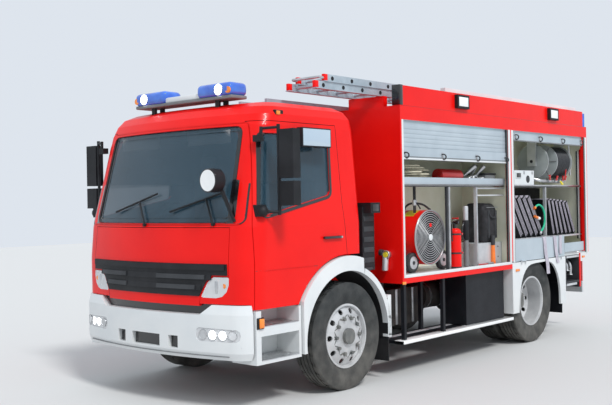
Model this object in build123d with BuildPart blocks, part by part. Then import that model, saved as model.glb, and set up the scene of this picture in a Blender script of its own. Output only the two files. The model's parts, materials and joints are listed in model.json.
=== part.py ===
"""Fire engine: two-axle tilt-cab chassis with a locker body, ladders on the roof and twin rear wheels.

The front faces -Y and the vehicle's left side is +X. The origin is on the ground under the middle.
"""
from build123d import *
import math
import os

os.makedirs("parts", exist_ok=True)

# Overall sizes
wheelbase = 3560
front_overhang = 1470
rear_overhang = 1580
overall_length = front_overhang + wheelbase + rear_overhang
front_axle_y = front_overhang - overall_length / 2
rear_axle_y = front_axle_y + wheelbase
seat_gap = 0.3
panel_gap = 5
SIDES = (1, -1)

# Wheels and tyres
tyre_radius = 500
tyre_width = 255
bead_radius = 286.5
rim_flange_radius = 300
rim_width = 190
front_wheel_x = 1020
rear_outer_x = 1085
twin_spacing = 300
stud_circle_radius = 167
stud_count = 10
hand_hole_count = 10
hub_bore_radius = 45
running_clearance = 0.08

# Front axle and steering
kingpin_x = 860
kingpin_radius = 24
axle_beam_height = 110
steer_limit = 35

# Cab
cab_half_width = 1147
cab_back_y = front_axle_y + 250
cab_wall = 40
bow_radius = 4000
cab_bottom_z = 860
crease_z = 1245
screen_base_z = 1557
screen_top_z = 2430
roof_z = 2660
front_corner_radius = 220
back_corner_radius = 90
arch_cut_radius = 765
cab_rear_sill_z = 1262
door_front_y = front_axle_y - 1200
door_rear_y = front_axle_y + 5
door_top_z = 2460
glass_thickness = 6
glass_depth = 14

# Body
body_half_width = 1250
cab_body_gap = 500
body_front_y = cab_back_y + cab_body_gap
body_length = 4350
body_rear_y = body_front_y + body_length
body_floor_z = 930
body_top_z = 2700
roof_slab = 60
body_wall = 40
opening_top_z = 2560
opening_bottom_z = 985
front_opening = (body_front_y + 45, body_front_y + 2180)
rear_opening = (body_front_y + 2300, body_rear_y - 110)
locker_back_x = 600
rear_door_zs = (1100, 2400)
partition = 20
parapet_height = 200
parapet_thickness = 90

# Chassis frame
rail_outer_x = 430
rail_height = 240
rail_flange = 70
rail_web = 8
rail_top_z = 860


def block(xs, ys, zs, mode=Mode.ADD):
    """Box between two corners, given as a low and a high value on each axis."""
    with Locations(((xs[0] + xs[1]) / 2, (ys[0] + ys[1]) / 2, (zs[0] + zs[1]) / 2)):
        return Box(xs[1] - xs[0], ys[1] - ys[0], zs[1] - zs[0], mode=mode)


def side_pair(low, high, side):
    """X range on one side of the vehicle, low value first."""
    return (low, high) if side > 0 else (-high, -low)


def rod(start, end, radius, mode=Mode.ADD):
    """Round bar between two points."""
    run = Vector(*end) - Vector(*start)
    plane = Plane(origin=start, z_dir=run.normalized())
    with Locations(plane):
        return Cylinder(radius, run.length, align=(Align.CENTER, Align.CENTER, Align.MIN), mode=mode)


def ring(axis_y, axis_z, outer, inner, xs):
    """Tube round a crosswise axis, between two X values."""
    with BuildSketch(Plane.YZ.offset(xs[0])) as section:
        with Locations((axis_y, axis_z)):
            Circle(outer)
            Circle(inner, mode=Mode.SUBTRACT)
    return extrude(section.sketch, amount=xs[1] - xs[0])


def save(piece, label):
    """Names one sub-part and writes its STEP file."""
    piece.part.label = label
    export_step(piece.part, f"parts/{label}.step")


# Body shapes made from level sections: each row is one height
# Columns: height, half width, front centre, back, front corner radius, back corner radius
cab_sections = [
    (cab_bottom_z, cab_half_width - 12, front_axle_y - 1432, cab_back_y, front_corner_radius, back_corner_radius),
    (crease_z, cab_half_width, front_axle_y - 1430, cab_back_y, front_corner_radius, back_corner_radius),
    (screen_base_z, cab_half_width, front_axle_y - 1400, cab_back_y, front_corner_radius, back_corner_radius),
    (screen_top_z, cab_half_width - 67, front_axle_y - 1170, cab_back_y - 10, front_corner_radius - 20, back_corner_radius),
    (roof_z - 130, cab_half_width - 85, front_axle_y - 1120, cab_back_y - 20, front_corner_radius - 20, back_corner_radius),
    (roof_z - 60, cab_half_width - 125, front_axle_y - 1055, cab_back_y - 60, front_corner_radius - 30, back_corner_radius),
    (roof_z - 15, cab_half_width - 205, front_axle_y - 940, cab_back_y - 120, front_corner_radius - 50, back_corner_radius),
    (roof_z, cab_half_width - 325, front_axle_y - 800, cab_back_y - 220, front_corner_radius - 70, back_corner_radius),
]
bumper_bottom_z = 440
bumper_top_z = 900
bumper_back_y = front_axle_y - 1235
bumper_corner_radius = 230
bumper_loft_back_y = front_axle_y - 1000
bumper_sections = [
    (bumper_bottom_z, cab_half_width - 10, -overall_length / 2 + 20, bumper_loft_back_y, bumper_corner_radius, 1),
    (bumper_bottom_z + 60, cab_half_width + 5, -overall_length / 2, bumper_loft_back_y, bumper_corner_radius, 1),
    (bumper_top_z - 80, cab_half_width + 5, -overall_length / 2 + 3, bumper_loft_back_y, bumper_corner_radius, 1),
    (bumper_top_z, cab_half_width, -overall_length / 2 + 22, bumper_loft_back_y, bumper_corner_radius, 1),
]


def level_loft(sections, inset, back_extra=0, low_extra=0):
    """Solid through level sections with a bowed front and round corners, every face moved in by inset."""
    bottom, top = sections[0][0], sections[-1][0]
    with BuildPart() as envelope:
        for height, half, front, back, corner, back_corner in sections:
            rise = max(0, (height - screen_top_z) / max(top - screen_top_z, 1))
            level = height - inset * rise - (low_extra if height == bottom else 0)
            w, r, bow = half - inset, corner - inset, bow_radius - inset
            y0, y1 = front + inset, back - inset + back_extra
            rb = max(back_corner - inset, 1)
            lean = math.asin((w - r) / (bow - r))
            bow_end = (bow * math.sin(lean), y0 + bow - bow * math.cos(lean))
            centre = ((bow - r) * math.sin(lean), y0 + bow - (bow - r) * math.cos(lean))
            half_turn = (lean + math.pi / 2) / 2
            corner_mid = (centre[0] + r * math.sin(half_turn), centre[1] - r * math.cos(half_turn))
            diagonal = rb * math.sin(math.pi / 4)
            with BuildSketch(Plane.XY.offset(level)):
                with BuildLine():
                    ThreePointArc((-bow_end[0], bow_end[1]), (0, y0), bow_end)
                    half_outline = [
                        ThreePointArc(bow_end, corner_mid, (w, centre[1])),
                        Line((w, centre[1]), (w, y1 - rb)),
                        ThreePointArc((w, y1 - rb), (w - rb + diagonal, y1 - rb + diagonal), (w - rb, y1)),
                    ]
                    Line((w - rb, y1), (-(w - rb), y1))
                    mirror(half_outline, about=Plane.YZ)
                make_face()
        loft(ruled=True)
    return envelope.part


def side_prism(points, xs, round_by=0, grow=0):
    """Prism along X from an outline of (y, z) points."""
    with BuildPart() as prism:
        with BuildSketch(Plane.YZ.offset(xs[0])) as outline:
            with BuildLine():
                Polyline(*points, close=True)
            make_face()
            if round_by:
                fillet(outline.vertices(), round_by)
            if grow:
                offset(amount=grow, kind=Kind.INTERSECTION)
        extrude(amount=xs[1] - xs[0])
    return prism.part


def front_prism(points, ys, round_by=0, grow=0):
    """Prism along Y from an outline of (x, z) points."""
    with BuildPart() as prism:
        with BuildSketch(Plane.XZ.offset(-ys[1])) as outline:
            with BuildLine():
                Polyline(*points, close=True)
            make_face()
            if round_by:
                fillet(outline.vertices(), round_by)
            if grow:
                offset(amount=grow, kind=Kind.INTERSECTION)
        extrude(amount=ys[1] - ys[0])
    return prism.part


def mirrored(points):
    """Outline of (x, z) points closed by its mirror image on the other side of X = 0."""
    return points + [(-x, z) for x, z in reversed(points)]


# Cab envelopes: outside, inside, and the layer that the glass fills
cab_outer = level_loft(cab_sections, 0)
cab_inner = level_loft(cab_sections, cab_wall, low_extra=cab_wall)
glass_outer = level_loft(cab_sections, glass_depth)
glass_inner = level_loft(cab_sections, glass_depth + glass_thickness)
grille_outer = level_loft(cab_sections, -8, low_extra=20)
grille_back = level_loft(cab_sections, 18, low_extra=20)

# Outlines cut through the cab, as (y, z) or (x, z)
door_outline = [
    (door_front_y, cab_bottom_z),
    (door_front_y, screen_base_z),
    (door_front_y + 150, door_top_z),
    (door_rear_y - 68, door_top_z),
    (door_rear_y - 52, crease_z + 505),
    (door_rear_y, crease_z),
    (door_rear_y, cab_bottom_z),
]
window_outline = [
    (door_front_y + 70, screen_base_z + 83),
    (door_front_y + 183, door_top_z - 108),
    (door_rear_y - 195, door_top_z - 100),
    (door_rear_y - 220, screen_base_z + 263),
]
screen_outline = mirrored([(925, screen_base_z + 33), (885, screen_top_z - 8)])
flap_half_width = 925
flap_bottom_z = 885
lamp_notch = [(622, flap_bottom_z), (635, 972), (710, 1092), (770, 1140), (flap_half_width, 1140)]
flap_outline = mirrored(lamp_notch + [(flap_half_width - 7, screen_base_z - 7)])
grille_outline = mirrored([(628, 968), (702, 1090), (764, 1148), (flap_half_width - 8, 1148), (flap_half_width - 12, crease_z)])
corner_lamp_outline = [
    (642, 958), (672, 1010), (717, 1088), (777, 1134), (930, 1134), (928, 1070), (905, 1010), (860, 970), (800, 956),
]
front_ys = (front_axle_y - 1600, front_axle_y - 900)
side_xs = (700, 1400)

door_prism = side_prism(door_outline, side_xs)
door_hole = side_prism(door_outline, side_xs, grow=panel_gap)
window_prism = side_prism(window_outline, side_xs, round_by=55)
window_fit = side_prism(window_outline, side_xs, round_by=55, grow=-seat_gap)
screen_prism = front_prism(screen_outline, front_ys, round_by=70)
screen_fit = front_prism(screen_outline, front_ys, round_by=70, grow=-seat_gap)
flap_prism = front_prism(flap_outline, front_ys)
flap_hole = front_prism(flap_outline, front_ys, grow=panel_gap)
grille_prism = front_prism(grille_outline, front_ys)
grille_fit = front_prism(grille_outline, front_ys, grow=-seat_gap)
lamp_prism = front_prism(corner_lamp_outline, front_ys, round_by=14)
lamp_fit = front_prism(corner_lamp_outline, front_ys, round_by=14, grow=-seat_gap)

bumper_outer = level_loft(bumper_sections, 0)
bumper_inner = level_loft(bumper_sections, 40, back_extra=120)
headlamp_outer = level_loft(bumper_sections, 6)
headlamp_inner = level_loft(bumper_sections, 39)
headlamp_outline = [
    (622, 612), (616, 650), (622, 690), (645, 708), (1020, 700), (1044, 684), (1052, 650), (1044, 612), (1020, 596), (650, 592),
]
headlamp_prism = front_prism(headlamp_outline, (front_axle_y - 1600, front_axle_y - 1238), round_by=12)
headlamp_fit = front_prism(headlamp_outline, (front_axle_y - 1600, front_axle_y - 1238), round_by=12, grow=-seat_gap)


def envelope_piece(outer, inner, prism):
    """The part of the layer between two envelopes that lies in a prism."""
    with BuildPart() as piece:
        add(outer)
        add(prism, mode=Mode.INTERSECT)
        add(inner, mode=Mode.SUBTRACT)
    return piece.part


def opposite(piece):
    """Mirror image on the other side of the vehicle."""
    return mirror(piece, about=Plane.YZ)


with BuildPart() as arch_cutter:
    with Locations(Location((0, front_axle_y, tyre_radius), (0, 90, 0))):
        Cylinder(arch_cut_radius, 2 * side_xs[1])
    block((-side_xs[1], side_xs[1]), (front_axle_y, cab_back_y + 50), (cab_bottom_z - 100, cab_rear_sill_z))

# Cab shell with floor, engine hump, bulkhead and back wall
footwell_z = 900
floor_plate = 30
riser_y = front_axle_y - 730
hump_half_width = 380
hump_front_y = front_axle_y - 1050
hump_top_z = cab_rear_sill_z + floor_plate
bulkhead_y = front_axle_y - 1230
bulkhead_plate = 20
bulkhead_top_z = 1500
floor_half = cab_half_width + 50
with BuildPart() as floor_blocks:
    block((-floor_half, floor_half), (riser_y, cab_back_y), (cab_rear_sill_z, hump_top_z))
    block((-floor_half, floor_half), (bulkhead_y, riser_y), (footwell_z - floor_plate, footwell_z))
    block((-floor_half, floor_half), (riser_y - floor_plate, riser_y), (footwell_z, hump_top_z))
    block((-hump_half_width, hump_half_width), (hump_front_y, riser_y), (hump_top_z - floor_plate, hump_top_z))
    block((-hump_half_width, hump_half_width), (hump_front_y, hump_front_y + floor_plate), (footwell_z, hump_top_z))
    for x in (-hump_half_width, hump_half_width - floor_plate):
        block((x, x + floor_plate), (hump_front_y, riser_y), (footwell_z, hump_top_z))
    block((-floor_half, floor_half), (bulkhead_y, bulkhead_y + bulkhead_plate), (footwell_z, bulkhead_top_z))

door_sill_gap = 30
door_hole_right = opposite(door_hole)
lamp_prism_right = opposite(lamp_prism)
with BuildPart() as sill_cutter:
    add(door_hole)
    add(door_hole_right)
    add(level_loft(cab_sections, cab_wall + door_sill_gap, low_extra=cab_wall), mode=Mode.SUBTRACT)
with BuildPart() as cab_floor:
    add(floor_blocks.part)
    add(cab_inner, mode=Mode.INTERSECT)
    add(sill_cutter.part, mode=Mode.SUBTRACT)

with BuildPart() as cab_shell:
    add(cab_outer)
    add(cab_inner, mode=Mode.SUBTRACT)
    for hole in (door_hole, door_hole_right, lamp_prism, lamp_prism_right, screen_prism, flap_hole):
        add(hole, mode=Mode.SUBTRACT)
    block((-1300, 1300), (front_axle_y - 1600, bumper_back_y + 5), (cab_bottom_z - 50, bumper_top_z + 5),
          mode=Mode.SUBTRACT)
    add(cab_floor.part)
    add(arch_cutter.part, mode=Mode.SUBTRACT)
save(cab_shell, "cab_shell")

# Doors, windows and windscreen
with BuildPart() as door_left:
    add(envelope_piece(cab_outer, cab_inner, door_prism))
    add(window_prism, mode=Mode.SUBTRACT)
    add(arch_cutter.part, mode=Mode.SUBTRACT)
save(door_left, "door_left")
with BuildPart() as door_right:
    mirror(door_left.part, about=Plane.YZ)
save(door_right, "door_right")
with BuildPart() as door_glass_left:
    add(envelope_piece(glass_outer, glass_inner, window_fit))
save(door_glass_left, "door_glass_left")
with BuildPart() as door_glass_right:
    mirror(door_glass_left.part, about=Plane.YZ)
save(door_glass_right, "door_glass_right")
with BuildPart() as windscreen:
    add(envelope_piece(glass_outer, glass_inner, screen_fit))
save(windscreen, "windscreen")

# Front service flap and its grille
with BuildPart() as front_flap:
    add(envelope_piece(cab_outer, cab_inner, flap_prism))
    add(grille_prism, mode=Mode.SUBTRACT)
save(front_flap, "front_flap")
with BuildPart() as grille:
    add(envelope_piece(grille_outer, grille_back, grille_fit))
save(grille, "grille")

# Bumper, hollow and open at the back
bumper_wall = 30
notch_half_width = 655
notch_top_half_width = 770
notch_z = 815
# Columns: centre x, width
intake_rows = [(-355, 115), (0, 380), (355, 115)]
intake_zs = (515, 620)
rail_front_y = front_axle_y - 1300
with BuildPart() as bumper_cavity:
    add(bumper_inner)
    add(front_prism([(-1300, bumper_bottom_z + bumper_wall), (1300, bumper_bottom_z + bumper_wall),
                     (1300, bumper_top_z - bumper_wall), (notch_top_half_width + bumper_wall, bumper_top_z - bumper_wall),
                     (notch_half_width + bumper_wall, notch_z - bumper_wall),
                     (-notch_half_width - bumper_wall, notch_z - bumper_wall),
                     (-notch_top_half_width - bumper_wall, bumper_top_z - bumper_wall),
                     (-1300, bumper_top_z - bumper_wall)], front_ys), mode=Mode.INTERSECT)
headlamp_prism_right = opposite(headlamp_prism)
with BuildPart() as bumper:
    add(bumper_outer)
    block((-1300, 1300), (bumper_back_y, bumper_loft_back_y + 1), (bumper_bottom_z - 1, bumper_top_z + 1),
          mode=Mode.SUBTRACT)
    add(front_prism(mirrored([(notch_half_width, notch_z), (notch_top_half_width, bumper_top_z + 1)]),
                    (front_axle_y - 1600, bumper_back_y + 1)), mode=Mode.SUBTRACT)
    add(bumper_cavity.part, mode=Mode.SUBTRACT)
    add(headlamp_prism, mode=Mode.SUBTRACT)
    add(headlamp_prism_right, mode=Mode.SUBTRACT)
    for x, width in intake_rows:
        block((x - width / 2, x + width / 2), (front_axle_y - 1600, front_axle_y - 1390), intake_zs, mode=Mode.SUBTRACT)
    block((-rail_outer_x - 20, rail_outer_x + 20), (rail_front_y - 10, bumper_back_y + 1), (600, notch_z + 1),
          mode=Mode.SUBTRACT)
    for side in SIDES:
        block(side_pair(rail_outer_x - rail_flange, rail_outer_x, side), (front_axle_y - 1440, rail_front_y - seat_gap),
              (680, 780))
save(bumper, "bumper")

# Chassis frame: channel rails, body subframe, crossmembers and cab rests
rail_rear_y = body_rear_y - 60
rail_bottom_z = rail_top_z - rail_height
subframe_rear_y = front_axle_y + 3000
cross_members = (-1250, 950, 1750, 2700, 4380, 4960)
wheel_box_z = 1020
cab_rest_front_y = front_axle_y - 1100
cab_rest_rear_y = front_axle_y + 120
with BuildPart() as frame_rails:
    for side in SIDES:
        block(side_pair(rail_outer_x - rail_web, rail_outer_x, side), (rail_front_y, rail_rear_y),
              (rail_bottom_z, rail_top_z))
        for z in (rail_bottom_z, rail_top_z - rail_web):
            block(side_pair(rail_outer_x - rail_flange, rail_outer_x, side), (rail_front_y, rail_rear_y),
                  (z, z + rail_web))
    for y in cross_members:
        block((-rail_outer_x + rail_web / 2, rail_outer_x - rail_web / 2),
              (front_axle_y + y - 40, front_axle_y + y + 40), (rail_top_z - 170, rail_top_z - 30))
save(frame_rails, "frame_rails")
frame_seat_z = rail_top_z + seat_gap
with BuildPart() as body_subframe:
    for side in SIDES:
        block(side_pair(rail_outer_x - rail_flange, rail_outer_x, side), (body_front_y, subframe_rear_y),
              (frame_seat_z, body_floor_z - seat_gap))
        block(side_pair(rail_outer_x - rail_flange, rail_outer_x, side), (subframe_rear_y, rail_rear_y),
              (frame_seat_z, wheel_box_z - seat_gap))
save(body_subframe, "body_subframe")
with BuildPart() as cab_rests:
    for side in SIDES:
        block(side_pair(rail_outer_x - rail_flange, rail_outer_x, side), (cab_rest_front_y, cab_rest_front_y + 90),
              (frame_seat_z, footwell_z - floor_plate - seat_gap))
        block(side_pair(rail_outer_x - rail_flange, rail_outer_x, side), (cab_rest_rear_y, cab_rest_rear_y + 80),
              (frame_seat_z, cab_rear_sill_z - seat_gap))
    block((-rail_outer_x, rail_outer_x), (cab_back_y + 120, cab_back_y + 200), (frame_seat_z, rail_top_z + 60))
save(cab_rests, "cab_rests")

# Engine and gearbox as plain blocks
with BuildPart() as engine_block:
    block((-330, 330), (front_axle_y - 620, front_axle_y + 300), (560, cab_rear_sill_z - 20))
    block((-190, 190), (front_axle_y + 300, front_axle_y + 880), (560, 850))
    for side in SIDES:
        block(side_pair(330, rail_outer_x - rail_web - seat_gap, side), (front_axle_y - 300, front_axle_y - 220),
              (rail_top_z - 150, rail_top_z - 60))
save(engine_block, "engine_block")

# Leaf springs: each row is one pair of springs
# Columns: axle y, inner x, outer x, seat height of the lowest leaf, half length of the main leaf
spring_rows = [
    (front_axle_y, rail_outer_x - rail_flange, rail_outer_x, 480, 640),
    (rear_axle_y, rail_outer_x + 10, rail_outer_x + 80, 571, 620),
]
# Columns: share of the half length, number counted from the bottom
leaf_rows = [(0.35, 0), (0.55, 1), (0.78, 2), (1.0, 3)]
leaf_thickness = 16
spring_bow = 4000
spring_eye_radius = 24
with BuildPart() as leaf_springs:
    for axle_y, x0, x1, seat_z, half_length in spring_rows:
        arc_z = seat_z + spring_bow
        for share, number in leaf_rows:
            half = half_length * share
            outer_r = spring_bow - number * leaf_thickness
            inner_r = outer_r - leaf_thickness
            drop_o = arc_z - math.sqrt(outer_r ** 2 - half ** 2)
            drop_i = arc_z - math.sqrt(inner_r ** 2 - half ** 2)
            for side in SIDES:
                start = x0 if side > 0 else -x1
                with BuildSketch(Plane.YZ.offset(start)):
                    with BuildLine():
                        ThreePointArc((axle_y - half, drop_o), (axle_y, arc_z - outer_r), (axle_y + half, drop_o))
                        Line((axle_y + half, drop_o), (axle_y + half, drop_i))
                        ThreePointArc((axle_y + half, drop_i), (axle_y, arc_z - inner_r), (axle_y - half, drop_i))
                        Line((axle_y - half, drop_i), (axle_y - half, drop_o))
                    make_face()
                extrude(amount=x1 - x0)
        eye_z = arc_z - math.sqrt((spring_bow - 3.5 * leaf_thickness) ** 2 - half_length ** 2)
        for side in SIDES:
            for end in SIDES:
                y = axle_y + end * half_length
                if x0 > rail_outer_x:
                    block(side_pair(rail_outer_x + seat_gap, x1, side), (y - 35, y + 35), (eye_z - 18, eye_z + 60))
                else:
                    block(side_pair(x0, x1, side), (y - 35, y + 35), (eye_z - 18, rail_bottom_z - seat_gap))
save(leaf_springs, "leaf_springs")

# Front axle beam with kingpin eyes
beam_half = kingpin_x
eye_radius = 46
eye_half_height = 55
beam_outline = [
    (-beam_half, tyre_radius - 45), (-560, tyre_radius - 60), (-440, tyre_radius - 120), (440, tyre_radius - 120),
    (560, tyre_radius - 60), (beam_half, tyre_radius - 45), (beam_half, tyre_radius + 45), (560, tyre_radius + 30),
    (440, 480 - seat_gap), (-440, 480 - seat_gap), (-560, tyre_radius + 30), (-beam_half, tyre_radius + 45),
]
beam_prism = front_prism(beam_outline, (front_axle_y - 45, front_axle_y + 45))
with BuildPart() as front_axle:
    add(beam_prism)
    for side in SIDES:
        with Locations((side * kingpin_x, front_axle_y, tyre_radius)):
            Cylinder(eye_radius, 2 * eye_half_height)
            Cylinder(kingpin_radius + running_clearance, 2 * eye_half_height + 10, mode=Mode.SUBTRACT)
save(front_axle, "front_axle")

# Steering knuckles: fork, kingpin, backing plate and spindle
fork_gap = 1
fork_height = 30
plate_x = front_wheel_x - 112
spindle_radius = hub_bore_radius - running_clearance
with BuildPart() as knuckle_left:
    for level in SIDES:
        z0 = tyre_radius + eye_half_height + fork_gap if level > 0 else tyre_radius - eye_half_height - fork_gap - fork_height
        with Locations((kingpin_x, front_axle_y, z0 + fork_height / 2)):
            Cylinder(eye_radius, fork_height)
        block((kingpin_x, plate_x), (front_axle_y - eye_radius, front_axle_y + eye_radius), (z0, z0 + fork_height))
    with Locations((kingpin_x, front_axle_y, tyre_radius)):
        Cylinder(kingpin_radius, 2 * (eye_half_height + fork_gap) + 20)
    block((plate_x - 1, plate_x + 2), (front_axle_y - eye_radius, front_axle_y + eye_radius),
          (tyre_radius - eye_half_height - fork_height, tyre_radius + eye_half_height + fork_height))
    rod((plate_x, front_axle_y, tyre_radius), (plate_x + 8, front_axle_y, tyre_radius), 180)
    rod((plate_x, front_axle_y, tyre_radius), (front_wheel_x + 90, front_axle_y, tyre_radius), spindle_radius)
save(knuckle_left, "knuckle_left")
with BuildPart() as knuckle_right:
    mirror(knuckle_left.part, about=Plane.YZ)
save(knuckle_right, "knuckle_right")

# Rear axle: tube, differential housing, backing plates and spindles
rear_plate_x = rear_outer_x - twin_spacing - 95
spring_seat_z = spring_rows[1][3]
with BuildPart() as rear_axle:
    rod((-rear_plate_x, rear_axle_y, tyre_radius), (rear_plate_x, rear_axle_y, tyre_radius), spring_seat_z - tyre_radius - 1)
    rod((-100, rear_axle_y, tyre_radius), (100, rear_axle_y, tyre_radius), 190)
    rod((0, rear_axle_y, tyre_radius), (0, rear_axle_y - 300, tyre_radius + 10), 90)
    rod((-rear_outer_x + 70, rear_axle_y, tyre_radius), (rear_outer_x - 70, rear_axle_y, tyre_radius), spindle_radius)
    for side in SIDES:
        rod((side * (rear_plate_x - 5), rear_axle_y, tyre_radius), (side * (rear_plate_x + 3), rear_axle_y, tyre_radius), 180)
        block(side_pair(spring_rows[1][1], spring_rows[1][2], side), (rear_axle_y - 60, rear_axle_y + 60),
              (tyre_radius, spring_seat_z - seat_gap))
save(rear_axle, "rear_axle")

# Propeller shaft between gearbox and rear axle
with BuildPart() as propeller_shaft:
    rod((0, front_axle_y + 880 + seat_gap, tyre_radius + 110), (0, front_axle_y + 960, tyre_radius + 110), 60)
    rod((0, front_axle_y + 940, tyre_radius + 110), (0, rear_axle_y - 370, tyre_radius + 15), 45)
    rod((0, rear_axle_y - 375, tyre_radius + 12), (0, rear_axle_y - 306, tyre_radius + 10), 60)
save(propeller_shaft, "propeller_shaft")

# Tyres and rims, drawn about the X axis with the wheel centre at the origin
tread_half = 105
tyre_half = tyre_width / 2
bead_half = rim_width / 2 - seat_gap
half_profile = [
    (tread_half, tyre_radius), (tread_half + 14, tyre_radius - 12), (tyre_half, tyre_radius - 85),
    (tyre_half - 2, tyre_radius - 125), (bead_half + 13, rim_flange_radius + 14),
    (bead_half, rim_flange_radius + 1), (bead_half, bead_radius),
]
tyre_profile = half_profile + [(-x, r) for x, r in reversed(half_profile)]
with BuildPart() as tyre:
    with BuildSketch(Plane.XZ):
        with BuildLine():
            Polyline(*tyre_profile, close=True)
        make_face()
    revolve(axis=Axis.X)

rim_half = rim_width / 2
rim_seat = bead_radius - seat_gap
barrel_profile = [
    (-rim_half - 12, rim_flange_radius), (-rim_half, rim_flange_radius), (-rim_half, rim_seat), (rim_half, rim_seat),
    (rim_half, rim_flange_radius), (rim_half + 12, rim_flange_radius), (rim_half + 12, rim_seat - 4),
    (rim_half - 10, rim_seat - 12), (-rim_half + 10, rim_seat - 12), (-rim_half - 12, rim_seat - 4),
]
disc_flat_radius = 200
hand_hole_radius = 26
hand_hole_circle = 237


def rim_solid(disc_x, disc_thick, barrel_x, centre_radius):
    """Wheel rim: disc_x is where the flat of the disc starts, barrel_x where it meets the barrel."""
    lean = 1 if barrel_x > disc_x else -1
    disc_profile = [
        (disc_x, centre_radius), (disc_x + disc_thick, centre_radius), (disc_x + disc_thick, disc_flat_radius),
        (barrel_x + disc_thick, rim_seat - 8), (barrel_x, rim_seat - 8), (disc_x, disc_flat_radius),
    ]
    with BuildPart() as rim:
        with BuildSketch(Plane.XZ):
            with BuildLine():
                Polyline(*barrel_profile, close=True)
            make_face()
        revolve(axis=Axis.X)
        with BuildSketch(Plane.XZ):
            with BuildLine():
                Polyline(*disc_profile, close=True)
            make_face()
        revolve(axis=Axis.X)
        with BuildSketch(Plane.YZ.offset(min(disc_x, barrel_x) - 5)):
            with PolarLocations(hand_hole_circle, hand_hole_count):
                Circle(hand_hole_radius)
        extrude(amount=abs(barrel_x - disc_x) + disc_thick + 10, mode=Mode.SUBTRACT)
    return rim.part


def stud_ring(x, length):
    """Ring of wheel nuts standing on a disc, drawn about the X axis."""
    with BuildPart() as studs:
        with BuildSketch(Plane.YZ.offset(x)):
            with PolarLocations(stud_circle_radius, stud_count):
                RegularPolygon(17, 6)
        extrude(amount=length)
    return studs.part


front_disc_x = 104
disc_thickness = 12
front_rim = rim_solid(front_disc_x, disc_thickness, 62, 60)
front_studs = stud_ring(front_disc_x + disc_thickness - 1, 24)
with BuildPart() as front_hub:
    rod((-98, 0, 0), (front_disc_x + 1, 0, 0), 88)
    rod((front_disc_x - 1, 0, 0), (front_disc_x + disc_thickness + 34, 0, 0), 74)
    rod((-12, 0, 0), (0, 0, 0), 205)
    rod((-98, 0, 0), (0, 0, 0), 205)
    rod((-98, 0, 0), (-12, 0, 0), 190, mode=Mode.SUBTRACT)
    rod((-98, 0, 0), (front_disc_x + 1, 0, 0), 88)
    rod((-98.5, 0, 0), (96, 0, 0), hub_bore_radius, mode=Mode.SUBTRACT)
outer_rim = rim_solid(-150, disc_thickness, -92, 100)
inner_rim = rim_solid(150 - disc_thickness, disc_thickness, 80, 100).moved(Location((-twin_spacing, 0, 0)))
rear_studs = stud_ring(-150 + disc_thickness - 1, 24)
with BuildPart() as rear_hub:
    rod((-390, 0, 0), (-174, 0, 0), 205)
    rod((-390, 0, 0), (-186, 0, 0), 190, mode=Mode.SUBTRACT)
    rod((-390, 0, 0), (-40, 0, 0), 105)
    rod((-390.5, 0, 0), (-64, 0, 0), hub_bore_radius, mode=Mode.SUBTRACT)
    rod((-175, 0, 0), (-150, 0, 0), 195)
    rod((-180, 0, 0), (-64, 0, 0), hub_bore_radius, mode=Mode.SUBTRACT)

front_hub_at = Location((front_wheel_x, front_axle_y, tyre_radius))
rear_hub_at = Location((rear_outer_x, rear_axle_y, tyre_radius))
rear_inner_at = Location((rear_outer_x - twin_spacing, rear_axle_y, tyre_radius))
with BuildPart() as tyre_front_left:
    add(tyre.part.moved(front_hub_at))
save(tyre_front_left, "tyre_front_left")
with BuildPart() as tyre_front_right:
    mirror(tyre_front_left.part, about=Plane.YZ)
save(tyre_front_right, "tyre_front_right")
with BuildPart() as rim_front_left:
    add(front_rim.moved(front_hub_at))
    add(front_studs.moved(front_hub_at))
    add(front_hub.part.moved(front_hub_at))
save(rim_front_left, "rim_front_left")
with BuildPart() as rim_front_right:
    mirror(rim_front_left.part, about=Plane.YZ)
save(rim_front_right, "rim_front_right")
with BuildPart() as tyres_rear_left:
    add(tyre.part.moved(rear_hub_at))
    add(tyre.part.moved(rear_inner_at))
save(tyres_rear_left, "tyres_rear_left")
with BuildPart() as tyres_rear_right:
    mirror(tyres_rear_left.part, about=Plane.YZ)
save(tyres_rear_right, "tyres_rear_right")
with BuildPart() as rims_rear_left:
    add(outer_rim.moved(rear_hub_at))
    add(inner_rim.moved(rear_hub_at))
    add(rear_studs.moved(rear_hub_at))
    add(rear_hub.part.moved(rear_hub_at))
save(rims_rear_left, "rims_rear_left")
with BuildPart() as rims_rear_right:
    mirror(rims_rear_left.part, about=Plane.YZ)
save(rims_rear_right, "rims_rear_right")

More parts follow.
